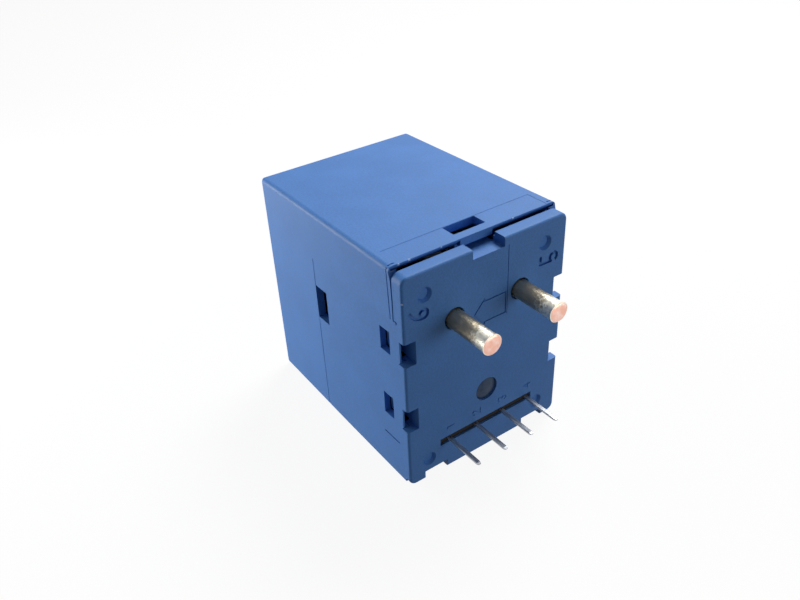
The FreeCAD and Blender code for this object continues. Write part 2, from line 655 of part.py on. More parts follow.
def terminal_plate():
    flange = block(0, UPPER_FLANGE_THICKNESS, -PLATE_HALF_WIDTH, PLATE_HALF_WIDTH, PLATE_BOTTOM, PLATE_TOP)
    flange = fillet_where(flange, PLATE_CORNER_ROUND, lambda middle, run: abs(run.x) > 0.1)
    face_edges = [edge for edge in flange.Edges
                  if all(abs(vertex.Point.x - SEAT_X) < 1e-6 for vertex in edge.Vertexes)]
    flange = flange.makeFillet(PLATE_EDGE_ROUND, face_edges)
    full = PLATE_HALF_WIDTH + 1
    flange = flange.cut(block(FLANGE_THICKNESS, UPPER_FLANGE_THICKNESS + 1, -full, full,
                              PLATE_BOTTOM - 1, UPPER_FLANGE_FROM + SEAM_GAP))
    adds = [block(FLANGE_THICKNESS / 2, PLUG_BACK, -PLUG_HALF_WIDTH, PLUG_HALF_WIDTH, PLUG_BOTTOM, PLUG_TOP)]
    for place in snap_places():
        adds.append(snap_block(place, PLUG_BACK - 0.1, PLUG_BACK + ARM_REACH, -ARM_THICKNESS, 0.0, ARM_SIDE_PLAY))
        adds.append(barb(place))
    for y in PRIMARY_SIDES:
        adds.append(rod(PRIMARY_DIAMETER / 2 + PRIMARY_HOLE_PLAY + PRIMARY_BOSS_WALL,
                        FLANGE_THICKNESS, PLUG_BACK + PRIMARY_BOSS_LENGTH, y, PRIMARY_HEIGHT))
    adds.append(rod(PLUG_HOLE_DIAMETER / 2 + PLUG_BOSS_WALL, FLANGE_THICKNESS, CORE_FRONT - PLUG_BOSS_PLAY,
                    0, PLUG_HOLE_LEVEL))
    for side in (-1, 1):
        inner = STACK_HALF + GUIDE_PLAY
        adds.append(mirrored_block(FLANGE_THICKNESS, CORE_FRONT + GUIDE_OVERLAP, side, inner,
                                   inner + GUIDE_THICKNESS, GUIDE_MIDDLE - GUIDE_HEIGHT / 2,
                                   GUIDE_MIDDLE + GUIDE_HEIGHT / 2))
    plate = flange.fuse(adds)
    cuts = plate_notches()
    for y in PRIMARY_SIDES:
        cuts.append(rod(PRIMARY_DIAMETER / 2 + PRIMARY_HOLE_PLAY, -1, CORE_FRONT + CORE_LIMB, y, PRIMARY_HEIGHT))
        cuts.append(rod(PRIMARY_COUNTERBORE / 2, -1, PRIMARY_COUNTERBORE_DEPTH, y, PRIMARY_HEIGHT))
    half = SLOT_HEIGHT / 2
    cuts.append(block(-1, PLUG_BACK + 1, SLOT_LEFT, SLOT_RIGHT, SECONDARY_HEIGHT - half, SECONDARY_HEIGHT + half))
    cuts.append(rod(PLUG_HOLE_DIAMETER / 2, -1, CORE_FRONT, 0, PLUG_HOLE_LEVEL))
    cuts += round_marks() + engraving()
    for cut in cuts:
        plate = plate.cut(cut)
    return plate.removeSplitter()


def adhesive_plug():
    """The drop that fills the round hole up to the core, its outer face a low dome."""
    radius = PLUG_HOLE_DIAMETER / 2
    body = rod(radius, PLUG_SINK, CORE_FRONT, 0, PLUG_HOLE_LEVEL)
    ball_radius = (radius ** 2 + PLUG_DOME ** 2) / (2 * PLUG_DOME)
    ball = Part.makeSphere(ball_radius, Vector(at(PLUG_SINK) + PLUG_DOME - ball_radius, 0, PLUG_HOLE_LEVEL))
    cap = ball.common(rod(radius, -PLUG_DOME, PLUG_SINK, 0, PLUG_HOLE_LEVEL))
    return body.fuse(cap).removeSplitter()


def conductor_path():
    """The U of the primary conductor, from the end of one pin to the end of the other."""
    low, high = PRIMARY_SIDES
    bend_x = at(BEND_DEPTH)
    tip_x = SEAT_X + PRIMARY_LENGTH
    points = [Vector(tip_x, low, PRIMARY_HEIGHT), Vector(bend_x, low, PRIMARY_HEIGHT),
              Vector(bend_x - BEND_RADIUS, 0, PRIMARY_HEIGHT), Vector(bend_x, high, PRIMARY_HEIGHT),
              Vector(tip_x, high, PRIMARY_HEIGHT)]
    edges = [Part.makeLine(points[0], points[1]), Part.Arc(points[1], points[2], points[3]).toShape(),
             Part.makeLine(points[3], points[4])]
    return edges


def swept(edges, radius):
    """A round bar along edges that join end to end, the first one straight."""
    start = edges[0].Vertexes[0].Point
    along = edges[0].Vertexes[-1].Point - start
    profile = Part.Wire(Part.makeCircle(radius, start, along))
    return Part.Wire(edges).makePipeShell([profile], True, False)


def primary_conductor():
    """The bent copper wire, a little thicker where its ends are dipped in tin."""
    wire = swept(conductor_path(), PRIMARY_DIAMETER / 2 - TIN_THICKNESS)
    ends = [rod(PRIMARY_DIAMETER / 2, -PRIMARY_LENGTH, -TIN_START, y, PRIMARY_HEIGHT) for y in PRIMARY_SIDES]
    bar = ends[0].fuse([ends[1], wire]).removeSplitter()
    tip_x = SEAT_X + PRIMARY_LENGTH
    tips = [edge for edge in bar.Edges
            if all(abs(vertex.Point.x - tip_x) < 1e-6 for vertex in edge.Vertexes)]
    bar = bar.makeChamfer(PRIMARY_CHAMFER, tips)
    outermost_first = sorted(bar.Faces, key=lambda face: -face.BoundBox.XMax)
    return Part.Solid(Part.Shell(outermost_first))


def insulating_sleeve():
    """A sleeve over the conductor's bend, open where the legs leave it."""
    bend = [conductor_path()[1]]
    start = bend[0].Vertexes[0].Point
    tubes = []
    for radius in (PRIMARY_DIAMETER / 2 + SLEEVE_PLAY + SLEEVE_WALL, PRIMARY_DIAMETER / 2 + SLEEVE_PLAY):
        profile = Part.Wire(Part.makeCircle(radius, start, Vector(1, 0, 0)))
        tubes.append(Part.Wire(bend).makePipeShell([profile], True, False))
    return tubes[0].cut(tubes[1])


def secondary_pin(y):
    """A flat pin that comes straight in and turns down through the board."""
    half, wide = SECONDARY_THICKNESS / 2, SECONDARY_WIDTH / 2
    tip_x = SEAT_X + SECONDARY_LENGTH
    tail_x = at(SECONDARY_TAIL_DEPTH)
    tail_z = BOARD_BOTTOM - SECONDARY_TAIL_BELOW
    run = Part.makeBox(tip_x - tail_x + half, SECONDARY_WIDTH, SECONDARY_THICKNESS,
                       Vector(tail_x - half, y - wide, SECONDARY_HEIGHT - half))
    drop = Part.makeBox(SECONDARY_THICKNESS, SECONDARY_WIDTH, SECONDARY_HEIGHT + half - tail_z,
                        Vector(tail_x - half, y - wide, tail_z))
    pin = run.fuse(drop).removeSplitter()
    for way, radius in ((-1, SECONDARY_BEND + SECONDARY_THICKNESS), (1, SECONDARY_BEND)):
        bend_x, bend_z = tail_x + way * half, SECONDARY_HEIGHT - way * half
        pin = fillet_where(pin, radius,
                           lambda middle, run: abs(middle.x - bend_x) < 1e-6 and abs(middle.z - bend_z) < 1e-6)
    tips = [edge for edge in pin.Edges if all(abs(vertex.Point.x - tip_x) < 1e-6 for vertex in edge.Vertexes)]
    return pin.makeChamfer(SECONDARY_THICKNESS / 3, tips)


def pin_strip():
    """The insulator round the four pins, on the board, with a nose that fills the plate's slot."""
    front = max(PLUG_BACK + STRIP_FRONT_PLAY, BOARD_FRONT)
    half, wide = SECONDARY_THICKNESS / 2 + PIN_PLAY, SECONDARY_WIDTH / 2 + PIN_PLAY
    strip = block(front, front + STRIP_LENGTH, SECONDARY_SIDES[0] - STRIP_OVERHANG, SECONDARY_SIDES[-1] + STRIP_OVERHANG,
                  BOARD_TOP, SECONDARY_HEIGHT + half + STRIP_COVER)
    nose_half = SLOT_HEIGHT / 2 - NOSE_PLAY
    nose = block(NOSE_SINK, front, SLOT_LEFT + NOSE_PLAY, SLOT_RIGHT - NOSE_PLAY,
                 SECONDARY_HEIGHT - nose_half, SECONDARY_HEIGHT + nose_half)
    strip = strip.fuse(nose).removeSplitter()
    for y in SECONDARY_SIDES:
        strip = strip.cut(block(0, front + STRIP_LENGTH + 1, y - wide, y + wide,
                                SECONDARY_HEIGHT - half, SECONDARY_HEIGHT + half))
    return strip


def sheet_stack(outline):
    """A pile of equal sheets, from an outline of depths and heights."""
    sheets = []
    pitch = SHEET_THICKNESS + SHEET_VARNISH
    for i in range(SHEET_COUNT):
        y = -STACK_HALF + SHEET_VARNISH / 2 + i * pitch
        corners = [(at(depth), y, z) for depth, z in outline]
        sheets.append(extrude_outline(corners, (0, SHEET_THICKNESS, 0)))
    return Part.makeCompound(sheets)


def core_front_stack():
    """The C of the core: front limb, top limb and the bottom limb up to the air gap."""
    gap = AIR_GAP_DEPTH - AIR_GAP / 2
    return sheet_stack([
        (CORE_FRONT, CORE_BOTTOM), (gap, CORE_BOTTOM), (gap, CORE_BOTTOM + CORE_LIMB),
        (CORE_FRONT + CORE_LIMB, CORE_BOTTOM + CORE_LIMB), (CORE_FRONT + CORE_LIMB, CORE_TOP - CORE_LIMB),
        (LIMB_BACK_FRONT, CORE_TOP - CORE_LIMB), (LIMB_BACK_FRONT, CORE_TOP), (CORE_FRONT, CORE_TOP)])


def core_rear_stack():
    """The L of the core: the bottom limb behind the air gap and the back limb in the bobbin."""
    gap = AIR_GAP_DEPTH + AIR_GAP / 2
    return sheet_stack([
        (gap, CORE_BOTTOM), (CORE_BACK, CORE_BOTTOM), (CORE_BACK, CORE_TOP), (LIMB_BACK_FRONT, CORE_TOP),
        (LIMB_BACK_FRONT, CORE_BOTTOM + CORE_LIMB), (gap, CORE_BOTTOM + CORE_LIMB)])


def coil_bobbin():
    tube = block(TUBE_FRONT, TUBE_BACK, -TUBE_HALF_WIDTH, TUBE_HALF_WIDTH, BOBBIN_BOTTOM, BOBBIN_TOP)
    adds = []
    for low in (BOBBIN_BOTTOM, BOBBIN_TOP - BOBBIN_FLANGE):
        adds.append(block(FLANGE_FRONT, FLANGE_BACK, -FLANGE_HALF_WIDTH, FLANGE_HALF_WIDTH,
                          low, low + BOBBIN_FLANGE))
    for side in (-1, 1):
        for depth in (FLANGE_FRONT, FLANGE_BACK - LEG_SIDE):
            adds.append(mirrored_block(depth, depth + LEG_SIDE, side, FLANGE_HALF_WIDTH - LEG_SIDE,
                                       FLANGE_HALF_WIDTH, BOARD_TOP, BOBBIN_BOTTOM + BOBBIN_FLANGE))
    bobbin = tube.fuse(adds)
    bobbin = bobbin.cut(block(LIMB_BACK_FRONT - BOBBIN_PLAY, CORE_BACK + BOBBIN_PLAY,
                              -STACK_HALF - BOBBIN_PLAY, STACK_HALF + BOBBIN_PLAY,
                              BOBBIN_BOTTOM - 1, BOBBIN_TOP + 1))
    half = TERMINAL_THICKNESS / 2 + PIN_PLAY
    for y in TERMINAL_SIDES:
        bobbin = bobbin.cut(block(TERMINAL_DEPTH - half, TERMINAL_DEPTH + half, y - half, y + half,
                                  BOARD_TOP - 1, BOBBIN_BOTTOM + BOBBIN_FLANGE + 1))
    return bobbin.removeSplitter()


def ring_round_tube(inner_grow, outer_grow, corner):
    """A closed ring round the bobbin's tube, between its flanges."""
    low = BOBBIN_BOTTOM + BOBBIN_FLANGE + WINDING_PLAY
    high = BOBBIN_TOP - BOBBIN_FLANGE - WINDING_PLAY
    outer = block(TUBE_FRONT - outer_grow, TUBE_BACK + outer_grow,
                  -TUBE_HALF_WIDTH - outer_grow, TUBE_HALF_WIDTH + outer_grow, low, high)
    outer = fillet_where(outer, corner, lambda middle, run: abs(run.z) > 0.1)
    inner = block(TUBE_FRONT - inner_grow, TUBE_BACK + inner_grow,
                  -TUBE_HALF_WIDTH - inner_grow, TUBE_HALF_WIDTH + inner_grow, low - 1, high + 1)
    return outer, inner


def compensation_coil():
    outer, inner = ring_round_tube(WINDING_PLAY, WINDING_PLAY + WINDING_BUILD, WINDING_ROUND)
    return outer.cut(inner)


def coil_tape():
    """The tape round the winding."""
    grow = 2 * WINDING_PLAY + WINDING_BUILD
    inner, _ = ring_round_tube(0, grow, WINDING_ROUND + WINDING_PLAY)
    outer, _ = ring_round_tube(0, grow + TAPE_THICKNESS, WINDING_ROUND + WINDING_PLAY + TAPE_THICKNESS)
    return outer.cut(inner)


def coil_terminal(y):
    """A square pin pressed through a leg of the bobbin and soldered in the board."""
    half = TERMINAL_THICKNESS / 2
    return block(TERMINAL_DEPTH - half, TERMINAL_DEPTH + half, y - half, y + half,
                 BOARD_BOTTOM - TERMINAL_BELOW, BOBBIN_BOTTOM + BOBBIN_FLANGE + TERMINAL_ABOVE)


def coil_lead(y):
    """The winding's end: a run in front of the tape and a hook half round the terminal."""
    level = BOBBIN_BOTTOM + BOBBIN_FLANGE + TERMINAL_ABOVE / 2
    hook = TERMINAL_THICKNESS * math.sqrt(0.5) + LEAD_DIAMETER / 2 + PIN_PLAY
    side = 1 if y > 0 else -1
    x = at(TERMINAL_DEPTH)
    front = Vector(x + hook, y, level)
    run = Part.makeLine(Vector(x + hook, y - side * LEAD_RUN, level), front)
    bend = Part.Arc(front, Vector(x, y + side * hook, level), Vector(x - hook, y, level)).toShape()
    return swept([run, bend], LEAD_DIAMETER / 2)


def circuit_board():
    board = block(BOARD_FRONT, BOARD_BACK, -BOARD_HALF_WIDTH, BOARD_HALF_WIDTH,
                  BOARD_BOTTOM, BOARD_TOP)
    cuts = []
    pin = math.hypot(SECONDARY_WIDTH, SECONDARY_THICKNESS) / 2 + BOARD_HOLE_PLAY
    for y in SECONDARY_SIDES:
        cuts.append((SECONDARY_TAIL_DEPTH, y, pin))
    terminal = TERMINAL_THICKNESS / math.sqrt(2) + BOARD_HOLE_PLAY
    for y in TERMINAL_SIDES:
        cuts.append((TERMINAL_DEPTH, y, terminal))
    lead = math.hypot(HALL_LEAD_WIDTH, HALL_LEAD_THICKNESS) / 2 + BOARD_HOLE_PLAY
    for y in hall_lead_sides():
        cuts.append((AIR_GAP_DEPTH, y, lead))
    for depth, y, radius in cuts:
        hole = Part.makeCylinder(radius, BOARD_THICKNESS + 2, Vector(at(depth), y, BOARD_BOTTOM - 1))
        board = board.cut(hole)
    return board


def hall_lead_sides():
    return [(i - 1.5) * HALL_LEAD_PITCH for i in range(4)]


def hall_element():
    low = CORE_BOTTOM + HALL_LIFT
    half = HALL_THICKNESS / 2
    body = block(AIR_GAP_DEPTH - half, AIR_GAP_DEPTH + half, -HALL_WIDTH / 2, HALL_WIDTH / 2,
                 low, low + HALL_HEIGHT)
    leads = []
    for y in hall_lead_sides():
        leads.append(block(AIR_GAP_DEPTH - HALL_LEAD_THICKNESS / 2, AIR_GAP_DEPTH + HALL_LEAD_THICKNESS / 2,
                           y - HALL_LEAD_WIDTH / 2, y + HALL_LEAD_WIDTH / 2,
                           BOARD_BOTTOM - HALL_LEAD_BELOW, low + HALL_HEIGHT / 2))
    return body.fuse(leads).removeSplitter()


def amplifier_ic(depth, y):
    """An eight-lead package on the board."""
    low = BOARD_TOP + IC_STAND_OFF
    body = block(depth - IC_LENGTH / 2, depth + IC_LENGTH / 2, y - IC_WIDTH / 2, y + IC_WIDTH / 2,
                 low, low + IC_HEIGHT)
    adds = []
    middle = low + IC_HEIGHT / 2
    for side in (-1, 1):
        for i in range(4):
            lead_depth = depth + (i - 1.5) * IC_LEAD_PITCH
            near = lead_depth - IC_LEAD_WIDTH / 2
            far = lead_depth + IC_LEAD_WIDTH / 2
            edge = IC_WIDTH / 2
            knee = edge + (IC_SPAN - IC_WIDTH) / 4
            tip = IC_SPAN / 2
            for y_0, y_1, z_0, z_1 in (
                    (edge - 0.3, knee, middle - IC_LEAD_THICKNESS / 2, middle + IC_LEAD_THICKNESS / 2),
                    (knee - IC_LEAD_THICKNESS, knee, BOARD_TOP, middle + IC_LEAD_THICKNESS / 2),
                    (knee - IC_LEAD_THICKNESS, tip, BOARD_TOP, BOARD_TOP + IC_LEAD_THICKNESS)):
                low_y, high_y = sorted((y + side * y_0, y + side * y_1))
                adds.append(block(near, far, low_y, high_y, z_0, z_1))
    return body.fuse(adds).removeSplitter()


def board_part(depth, y, length, width, height, edge):
    """A moulded or ceramic part standing on the board, with its upper edges broken."""
    body = block(depth - length / 2, depth + length / 2, y - width / 2, y + width / 2,
                 BOARD_TOP, BOARD_TOP + height)
    top = BOARD_TOP + height
    edges = [item for item in body.Edges if all(abs(vertex.Point.z - top) < 1e-6 for vertex in item.Vertexes)]
    return body.makeChamfer(edge, edges)


def power_parts():
    """The two driver transistors, near the +Y edge of the board, and the two diodes below the winding."""
    parts = {}
    middle = (FLANGE_FRONT + FLANGE_BACK) / 2
    transistor_depths = (TRANSISTOR_DEPTH, FLANGE_FRONT - TRANSISTOR_TO_LEG - TRANSISTOR_LENGTH / 2)
    for i, depth in enumerate(transistor_depths, 1):
        parts["driver_transistor_%d" % i] = board_part(
            depth, BOARD_HALF_WIDTH - TRANSISTOR_FROM_EDGE - TRANSISTOR_WIDTH / 2,
            TRANSISTOR_LENGTH, TRANSISTOR_WIDTH, TRANSISTOR_HEIGHT, TRANSISTOR_CHAMFER)
        parts["clamp_diode_%d" % i] = board_part(
            middle + (i - 1.5) * DIODE_STEP, 0, DIODE_LENGTH, DIODE_WIDTH, DIODE_HEIGHT, TRANSISTOR_CHAMFER)
    return parts


def passive_parts():
    """The capacitors and resistors beside the diodes, and one resistor beside the amplifier."""
    parts = {}
    middle = (FLANGE_FRONT + FLANGE_BACK) / 2
    outer = BOARD_HALF_WIDTH - RESISTOR_FROM_EDGE - RESISTOR_WIDTH / 2
    inner = outer - RESISTOR_WIDTH / 2 - CAPACITOR_TO_RESISTOR - CAPACITOR_WIDTH / 2
    for i, side in enumerate((-1, 1), 1):
        parts["supply_capacitor_%d" % i] = board_part(
            middle, side * inner, CAPACITOR_LENGTH, CAPACITOR_WIDTH, CAPACITOR_HEIGHT,
            TRANSISTOR_CHAMFER)
        parts["chip_resistor_%d" % i] = board_part(
            middle, side * outer, RESISTOR_LENGTH, RESISTOR_WIDTH, RESISTOR_HEIGHT, RESISTOR_CHAMFER)
    ic_edge = -BOARD_HALF_WIDTH + IC_FROM_EDGE + IC_SPAN
    transistor_edge = BOARD_HALF_WIDTH - TRANSISTOR_FROM_EDGE - TRANSISTOR_WIDTH
    parts["chip_resistor_3"] = board_part(
        IC_DEPTH, (ic_edge + transistor_edge) / 2, RESISTOR_LENGTH, RESISTOR_WIDTH, RESISTOR_HEIGHT,
        RESISTOR_CHAMFER)
    return parts


def all_nodes():
    nodes = {
        "housing_cover": housing_cover(),
        "terminal_plate": terminal_plate(),
        "primary_conductor": primary_conductor(),
        "adhesive_plug": adhesive_plug(),
        "insulating_sleeve": insulating_sleeve(),
        "pin_strip": pin_strip(),
        "core_front_stack": core_front_stack(),
        "core_rear_stack": core_rear_stack(),
        "coil_bobbin": coil_bobbin(),
        "compensation_coil": compensation_coil(),
        "coil_tape": coil_tape(),
        "circuit_board": circuit_board(),
        "hall_element": hall_element(),
        "amplifier_ic": amplifier_ic(IC_DEPTH, -BOARD_HALF_WIDTH + IC_FROM_EDGE + IC_SPAN / 2),
    }
    for i, y in enumerate(SECONDARY_SIDES, 1):
        nodes["secondary_pin_%d" % i] = secondary_pin(y)
    for i, y in enumerate(TERMINAL_SIDES, 1):
        nodes["coil_terminal_%d" % i] = coil_terminal(y)
        nodes["coil_lead_%d" % i] = coil_lead(y)
    nodes.update(power_parts())
    nodes.update(passive_parts())
    return nodes


os.makedirs("parts", exist_ok=True)
for node_name, node_shape in all_nodes().items():
    node_shape.exportStep("parts/%s.step" % node_name)
    print(node_name, len(node_shape.Solids), round(node_shape.Volume, 3), node_shape.isValid())
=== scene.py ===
"""Board-mounted Hall effect current sensor: its finishes, its drawn metal pins, its light and its camera.

Everything is in metres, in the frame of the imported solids: +Z is up, the pins point along +X.
"""
import json
import math

import bmesh
import bpy
from bpy.props import FloatProperty, FloatVectorProperty, PointerProperty
from mathutils import Matrix, Vector, noise


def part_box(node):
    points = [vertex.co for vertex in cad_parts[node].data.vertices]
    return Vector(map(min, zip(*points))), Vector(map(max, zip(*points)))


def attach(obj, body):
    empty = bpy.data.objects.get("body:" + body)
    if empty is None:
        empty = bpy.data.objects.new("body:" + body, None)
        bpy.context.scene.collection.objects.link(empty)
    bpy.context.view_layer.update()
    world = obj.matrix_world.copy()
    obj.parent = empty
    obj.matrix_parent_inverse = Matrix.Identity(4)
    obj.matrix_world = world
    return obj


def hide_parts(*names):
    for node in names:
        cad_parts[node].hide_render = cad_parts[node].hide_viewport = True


bl_info = {
    "name": "Current sensor",
    "version": (1, 0, 0),
    "blender": (4, 5, 0),
    "location": "View3D > Sidebar > Sensor",
    "description": "Finishes a board-mounted current sensor and sets its light and camera",
    "category": "Object",
}

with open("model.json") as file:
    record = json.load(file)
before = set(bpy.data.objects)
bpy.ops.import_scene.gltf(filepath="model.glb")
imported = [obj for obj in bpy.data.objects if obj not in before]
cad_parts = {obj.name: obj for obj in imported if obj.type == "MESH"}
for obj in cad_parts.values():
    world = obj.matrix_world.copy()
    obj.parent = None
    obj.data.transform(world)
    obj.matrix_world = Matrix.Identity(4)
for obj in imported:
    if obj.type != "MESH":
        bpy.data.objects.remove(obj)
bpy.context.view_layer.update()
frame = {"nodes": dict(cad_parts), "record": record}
MM = 0.001

PLATE_LOW, PLATE_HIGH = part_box("terminal_plate")
CONDUCTOR_LOW, CONDUCTOR_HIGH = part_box("primary_conductor")
FIRST_PIN_LOW, FIRST_PIN_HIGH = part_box("secondary_pin_1")
SECOND_PIN_LOW, SECOND_PIN_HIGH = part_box("secondary_pin_2")
SEAT_X = PLATE_HIGH.x
PIN_THICKNESS = 0.25 * MM

# The colour sockets of a Mix node, by number, because its sockets share their names.
MIX_FIRST = 6
MIX_SECOND = 7
MIX_RESULT = 2


class CaseSettings(bpy.types.PropertyGroup):
    """The moulded blue case."""

    colour: FloatVectorProperty(
        name="Plastic colour", description="Colour of the moulded case in full light", subtype="COLOR",
        size=3, min=0.0, max=1.0, default=(0.058, 0.203, 0.55))
    grain_size: FloatProperty(
        name="Grain size", description="Size of the fine grain that the mould leaves", default=0.22 * MM,
        unit="LENGTH", precision=5)
    grain_depth: FloatProperty(
        name="Grain depth", description="Depth of the fine grain", default=0.012 * MM, unit="LENGTH",
        precision=6)
    roughness: FloatProperty(
        name="Roughness", description="How dull the plastic is", default=0.58, min=0.0, max=1.0,
        subtype="FACTOR")


class PinSettings(bpy.types.PropertyGroup):
    """The thick round pins and the thin flat ones."""

    wire_radius: FloatProperty(
        name="Wire radius", description="Radius of the thick conductor",
        default=(CONDUCTOR_HIGH.z - CONDUCTOR_LOW.z) / 2, unit="LENGTH", precision=5)
    tip_flare: FloatProperty(
        name="Tip flare", description="How much the cutter spreads each tip", default=0.07 * MM,
        unit="LENGTH", precision=6)
    tip_tilt: FloatProperty(
        name="Tip tilt", description="Lean of the cut face", default=math.radians(4.0), subtype="ANGLE")
    tin_bump: FloatProperty(
        name="Tin unevenness", description="How uneven the dipped tin is", default=0.02 * MM,
        unit="LENGTH", precision=6)
    tin_colour: FloatVectorProperty(
        name="Tin colour", description="Bright dipped tin", subtype="COLOR", size=3, min=0.0, max=1.0,
        default=(0.84, 0.8, 0.66))
    flux_colour: FloatVectorProperty(
        name="Flux colour", description="Darkened tin near the case", subtype="COLOR", size=3, min=0.0,
        max=1.0, default=(0.36, 0.31, 0.22))
    copper_colour: FloatVectorProperty(
        name="Copper colour", description="Bare copper of the cut ends", subtype="COLOR", size=3, min=0.0,
        max=1.0, default=(0.84, 0.46, 0.35))


class StageSettings(bpy.types.PropertyGroup):
    """Floor, lamps and camera."""

    floor_size: FloatProperty(
        name="Floor size", description="Side of the square floor", default=3.0, unit="LENGTH")
    key_power: FloatProperty(
        name="Key lamp power", description="Power of the large lamp above the right side", default=0.86,
        unit="POWER")
    key_place: FloatVectorProperty(
        name="Key lamp place", description="Where the large lamp stands", size=3, unit="LENGTH",
        default=(-0.08, 0.16, 0.26))
    key_size: FloatProperty(
        name="Key lamp size", description="Width of the large lamp", default=0.16, unit="LENGTH")
    side_power: FloatProperty(
        name="Side lamp power", description="Power of the low lamp beside the left side", default=0.197,
        unit="POWER")
    side_place: FloatVectorProperty(
        name="Side lamp place", description="Where the low lamp stands", size=3, unit="LENGTH",
        default=(-0.105, -0.095, 0.016))
    side_size: FloatProperty(
        name="Side lamp size", description="Width of the low lamp", default=0.07, unit="LENGTH")
    fill_power: FloatProperty(
        name="Fill lamp power", description="Power of the soft lamp in front", default=0.063, unit="POWER")
    fill_place: FloatVectorProperty(
        name="Fill lamp place", description="Where the soft lamp in front stands", size=3, unit="LENGTH",
        default=(0.14, 0.07, 0.025))
    fill_size: FloatProperty(
        name="Fill lamp size", description="Width of the soft lamp in front", default=0.1, unit="LENGTH")
    floor_bounce: FloatProperty(
        name="Floor bounce", description="Share of the light that the floor gives back", default=0.12,
        min=0.0, max=1.0)
    ambient: FloatProperty(
        name="Ambient level", description="Even light from all round", default=0.08, min=0.0, max=1.0)
    camera_place: FloatVectorProperty(
        name="Camera place", description="Where the camera stands", size=3, unit="LENGTH",
        default=(0.064401, -0.046331, 0.067329))
    camera_target: FloatVectorProperty(
        name="Camera target", description="The point in the middle of the view", size=3, unit="LENGTH",
        default=(-0.005061, 0.0, 0.012215))
    camera_roll: FloatProperty(
        name="Camera roll", description="Turn of the camera about its view", default=math.radians(2.98),
        subtype="ANGLE")
    camera_lens: FloatProperty(
        name="Focal length", description="Focal length on a sensor 36 mm wide", default=36.24)


def blank_material(name):
    """A new node material with one Principled shader."""
    material = bpy.data.materials.new(name)
    material.use_nodes = True
    tree = material.node_tree
    tree.nodes.clear()
    output = tree.nodes.new("ShaderNodeOutputMaterial")
    shader = tree.nodes.new("ShaderNodeBsdfPrincipled")
    tree.links.new(shader.outputs["BSDF"], output.inputs["Surface"])
    return material, tree, shader


def object_coordinates(tree):
    """Places in metres on the object itself."""
    return tree.nodes.new("ShaderNodeTexCoord").outputs["Object"]


def noise_value(tree, vector, size, detail, roughness=0.5):
    """A value between 0 and 1 that changes over about the size given."""
    node = tree.nodes.new("ShaderNodeTexNoise")
    node.inputs["Scale"].default_value = 1 / size
    node.inputs["Detail"].default_value = detail
    node.inputs["Roughness"].default_value = roughness
    tree.links.new(vector, node.inputs["Vector"])
    return node.outputs["Fac"]


def remap(tree, value, from_low, from_high, to_low, to_high):
    """Turns one range of a value into another and holds it within its ends."""
    node = tree.nodes.new("ShaderNodeMapRange")
    tree.links.new(value, node.inputs["Value"])
    node.inputs["From Min"].default_value = from_low
    node.inputs["From Max"].default_value = from_high
    node.inputs["To Min"].default_value = to_low
    node.inputs["To Max"].default_value = to_high
    return node.outputs["Result"]


def mix_colour(tree, factor, first, second):
    """Mixes two colours or colour sockets by a value socket."""
    node = tree.nodes.new("ShaderNodeMix")
    node.data_type = "RGBA"
    tree.links.new(factor, node.inputs["Factor"])
    for socket, colour in ((node.inputs[MIX_FIRST], first), (node.inputs[MIX_SECOND], second)):
        if isinstance(colour, bpy.types.NodeSocket):
            tree.links.new(colour, socket)
        else:
            socket.default_value = (*colour, 1.0)
    return node.outputs[MIX_RESULT]


def calculate(tree, operation, first, second):
    """Joins two numbers or value sockets by one operation."""
    node = tree.nodes.new("ShaderNodeMath")
    node.operation = operation
    for socket, value in ((node.inputs[0], first), (node.inputs[1], second)):
        if isinstance(value, bpy.types.NodeSocket):
            tree.links.new(value, socket)
        else:
            socket.default_value = value
    return node.outputs[0]


def add_bump(tree, shader, height, distance):
    """Roughens a shader's surface by a height value, as deep as the distance."""
    node = tree.nodes.new("ShaderNodeBump")
    node.inputs["Strength"].default_value = 1.0
    node.inputs["Distance"].default_value = distance
    tree.links.new(height, node.inputs["Height"])
    tree.links.new(node.outputs["Normal"], shader.inputs["Normal"])


def grain_group():
    """Fine mould grain with a faint cloudiness, shared by every moulded plastic."""
    name = "moulded_grain"
    if name in bpy.data.node_groups:
        return bpy.data.node_groups[name]
    group = bpy.data.node_groups.new(name, "ShaderNodeTree")
    group.interface.new_socket("Vector", in_out="INPUT", socket_type="NodeSocketVector")
    group.interface.new_socket("Grain Scale", in_out="INPUT", socket_type="NodeSocketFloat")
    group.interface.new_socket("Grain", in_out="OUTPUT", socket_type="NodeSocketFloat")
    group.interface.new_socket("Cloud", in_out="OUTPUT", socket_type="NodeSocketFloat")
    nodes, links = group.nodes, group.links
    entry = nodes.new("NodeGroupInput")
    leave = nodes.new("NodeGroupOutput")
    grain = nodes.new("ShaderNodeTexNoise")
    grain.inputs["Detail"].default_value = 2.0
    grain.inputs["Roughness"].default_value = 0.55
    links.new(entry.outputs["Vector"], grain.inputs["Vector"])
    links.new(entry.outputs["Grain Scale"], grain.inputs["Scale"])
    links.new(grain.outputs["Fac"], leave.inputs["Grain"])
    cloud = nodes.new("ShaderNodeTexNoise")
    cloud.inputs["Detail"].default_value = 3.0
    links.new(entry.outputs["Vector"], cloud.inputs["Vector"])
    coarser = nodes.new("ShaderNodeMath")
    coarser.operation = "MULTIPLY"
    coarser.inputs[1].default_value = 0.04
    links.new(entry.outputs["Grain Scale"], coarser.inputs[0])
    links.new(coarser.outputs[0], cloud.inputs["Scale"])
    links.new(cloud.outputs["Fac"], leave.inputs["Cloud"])
    return group


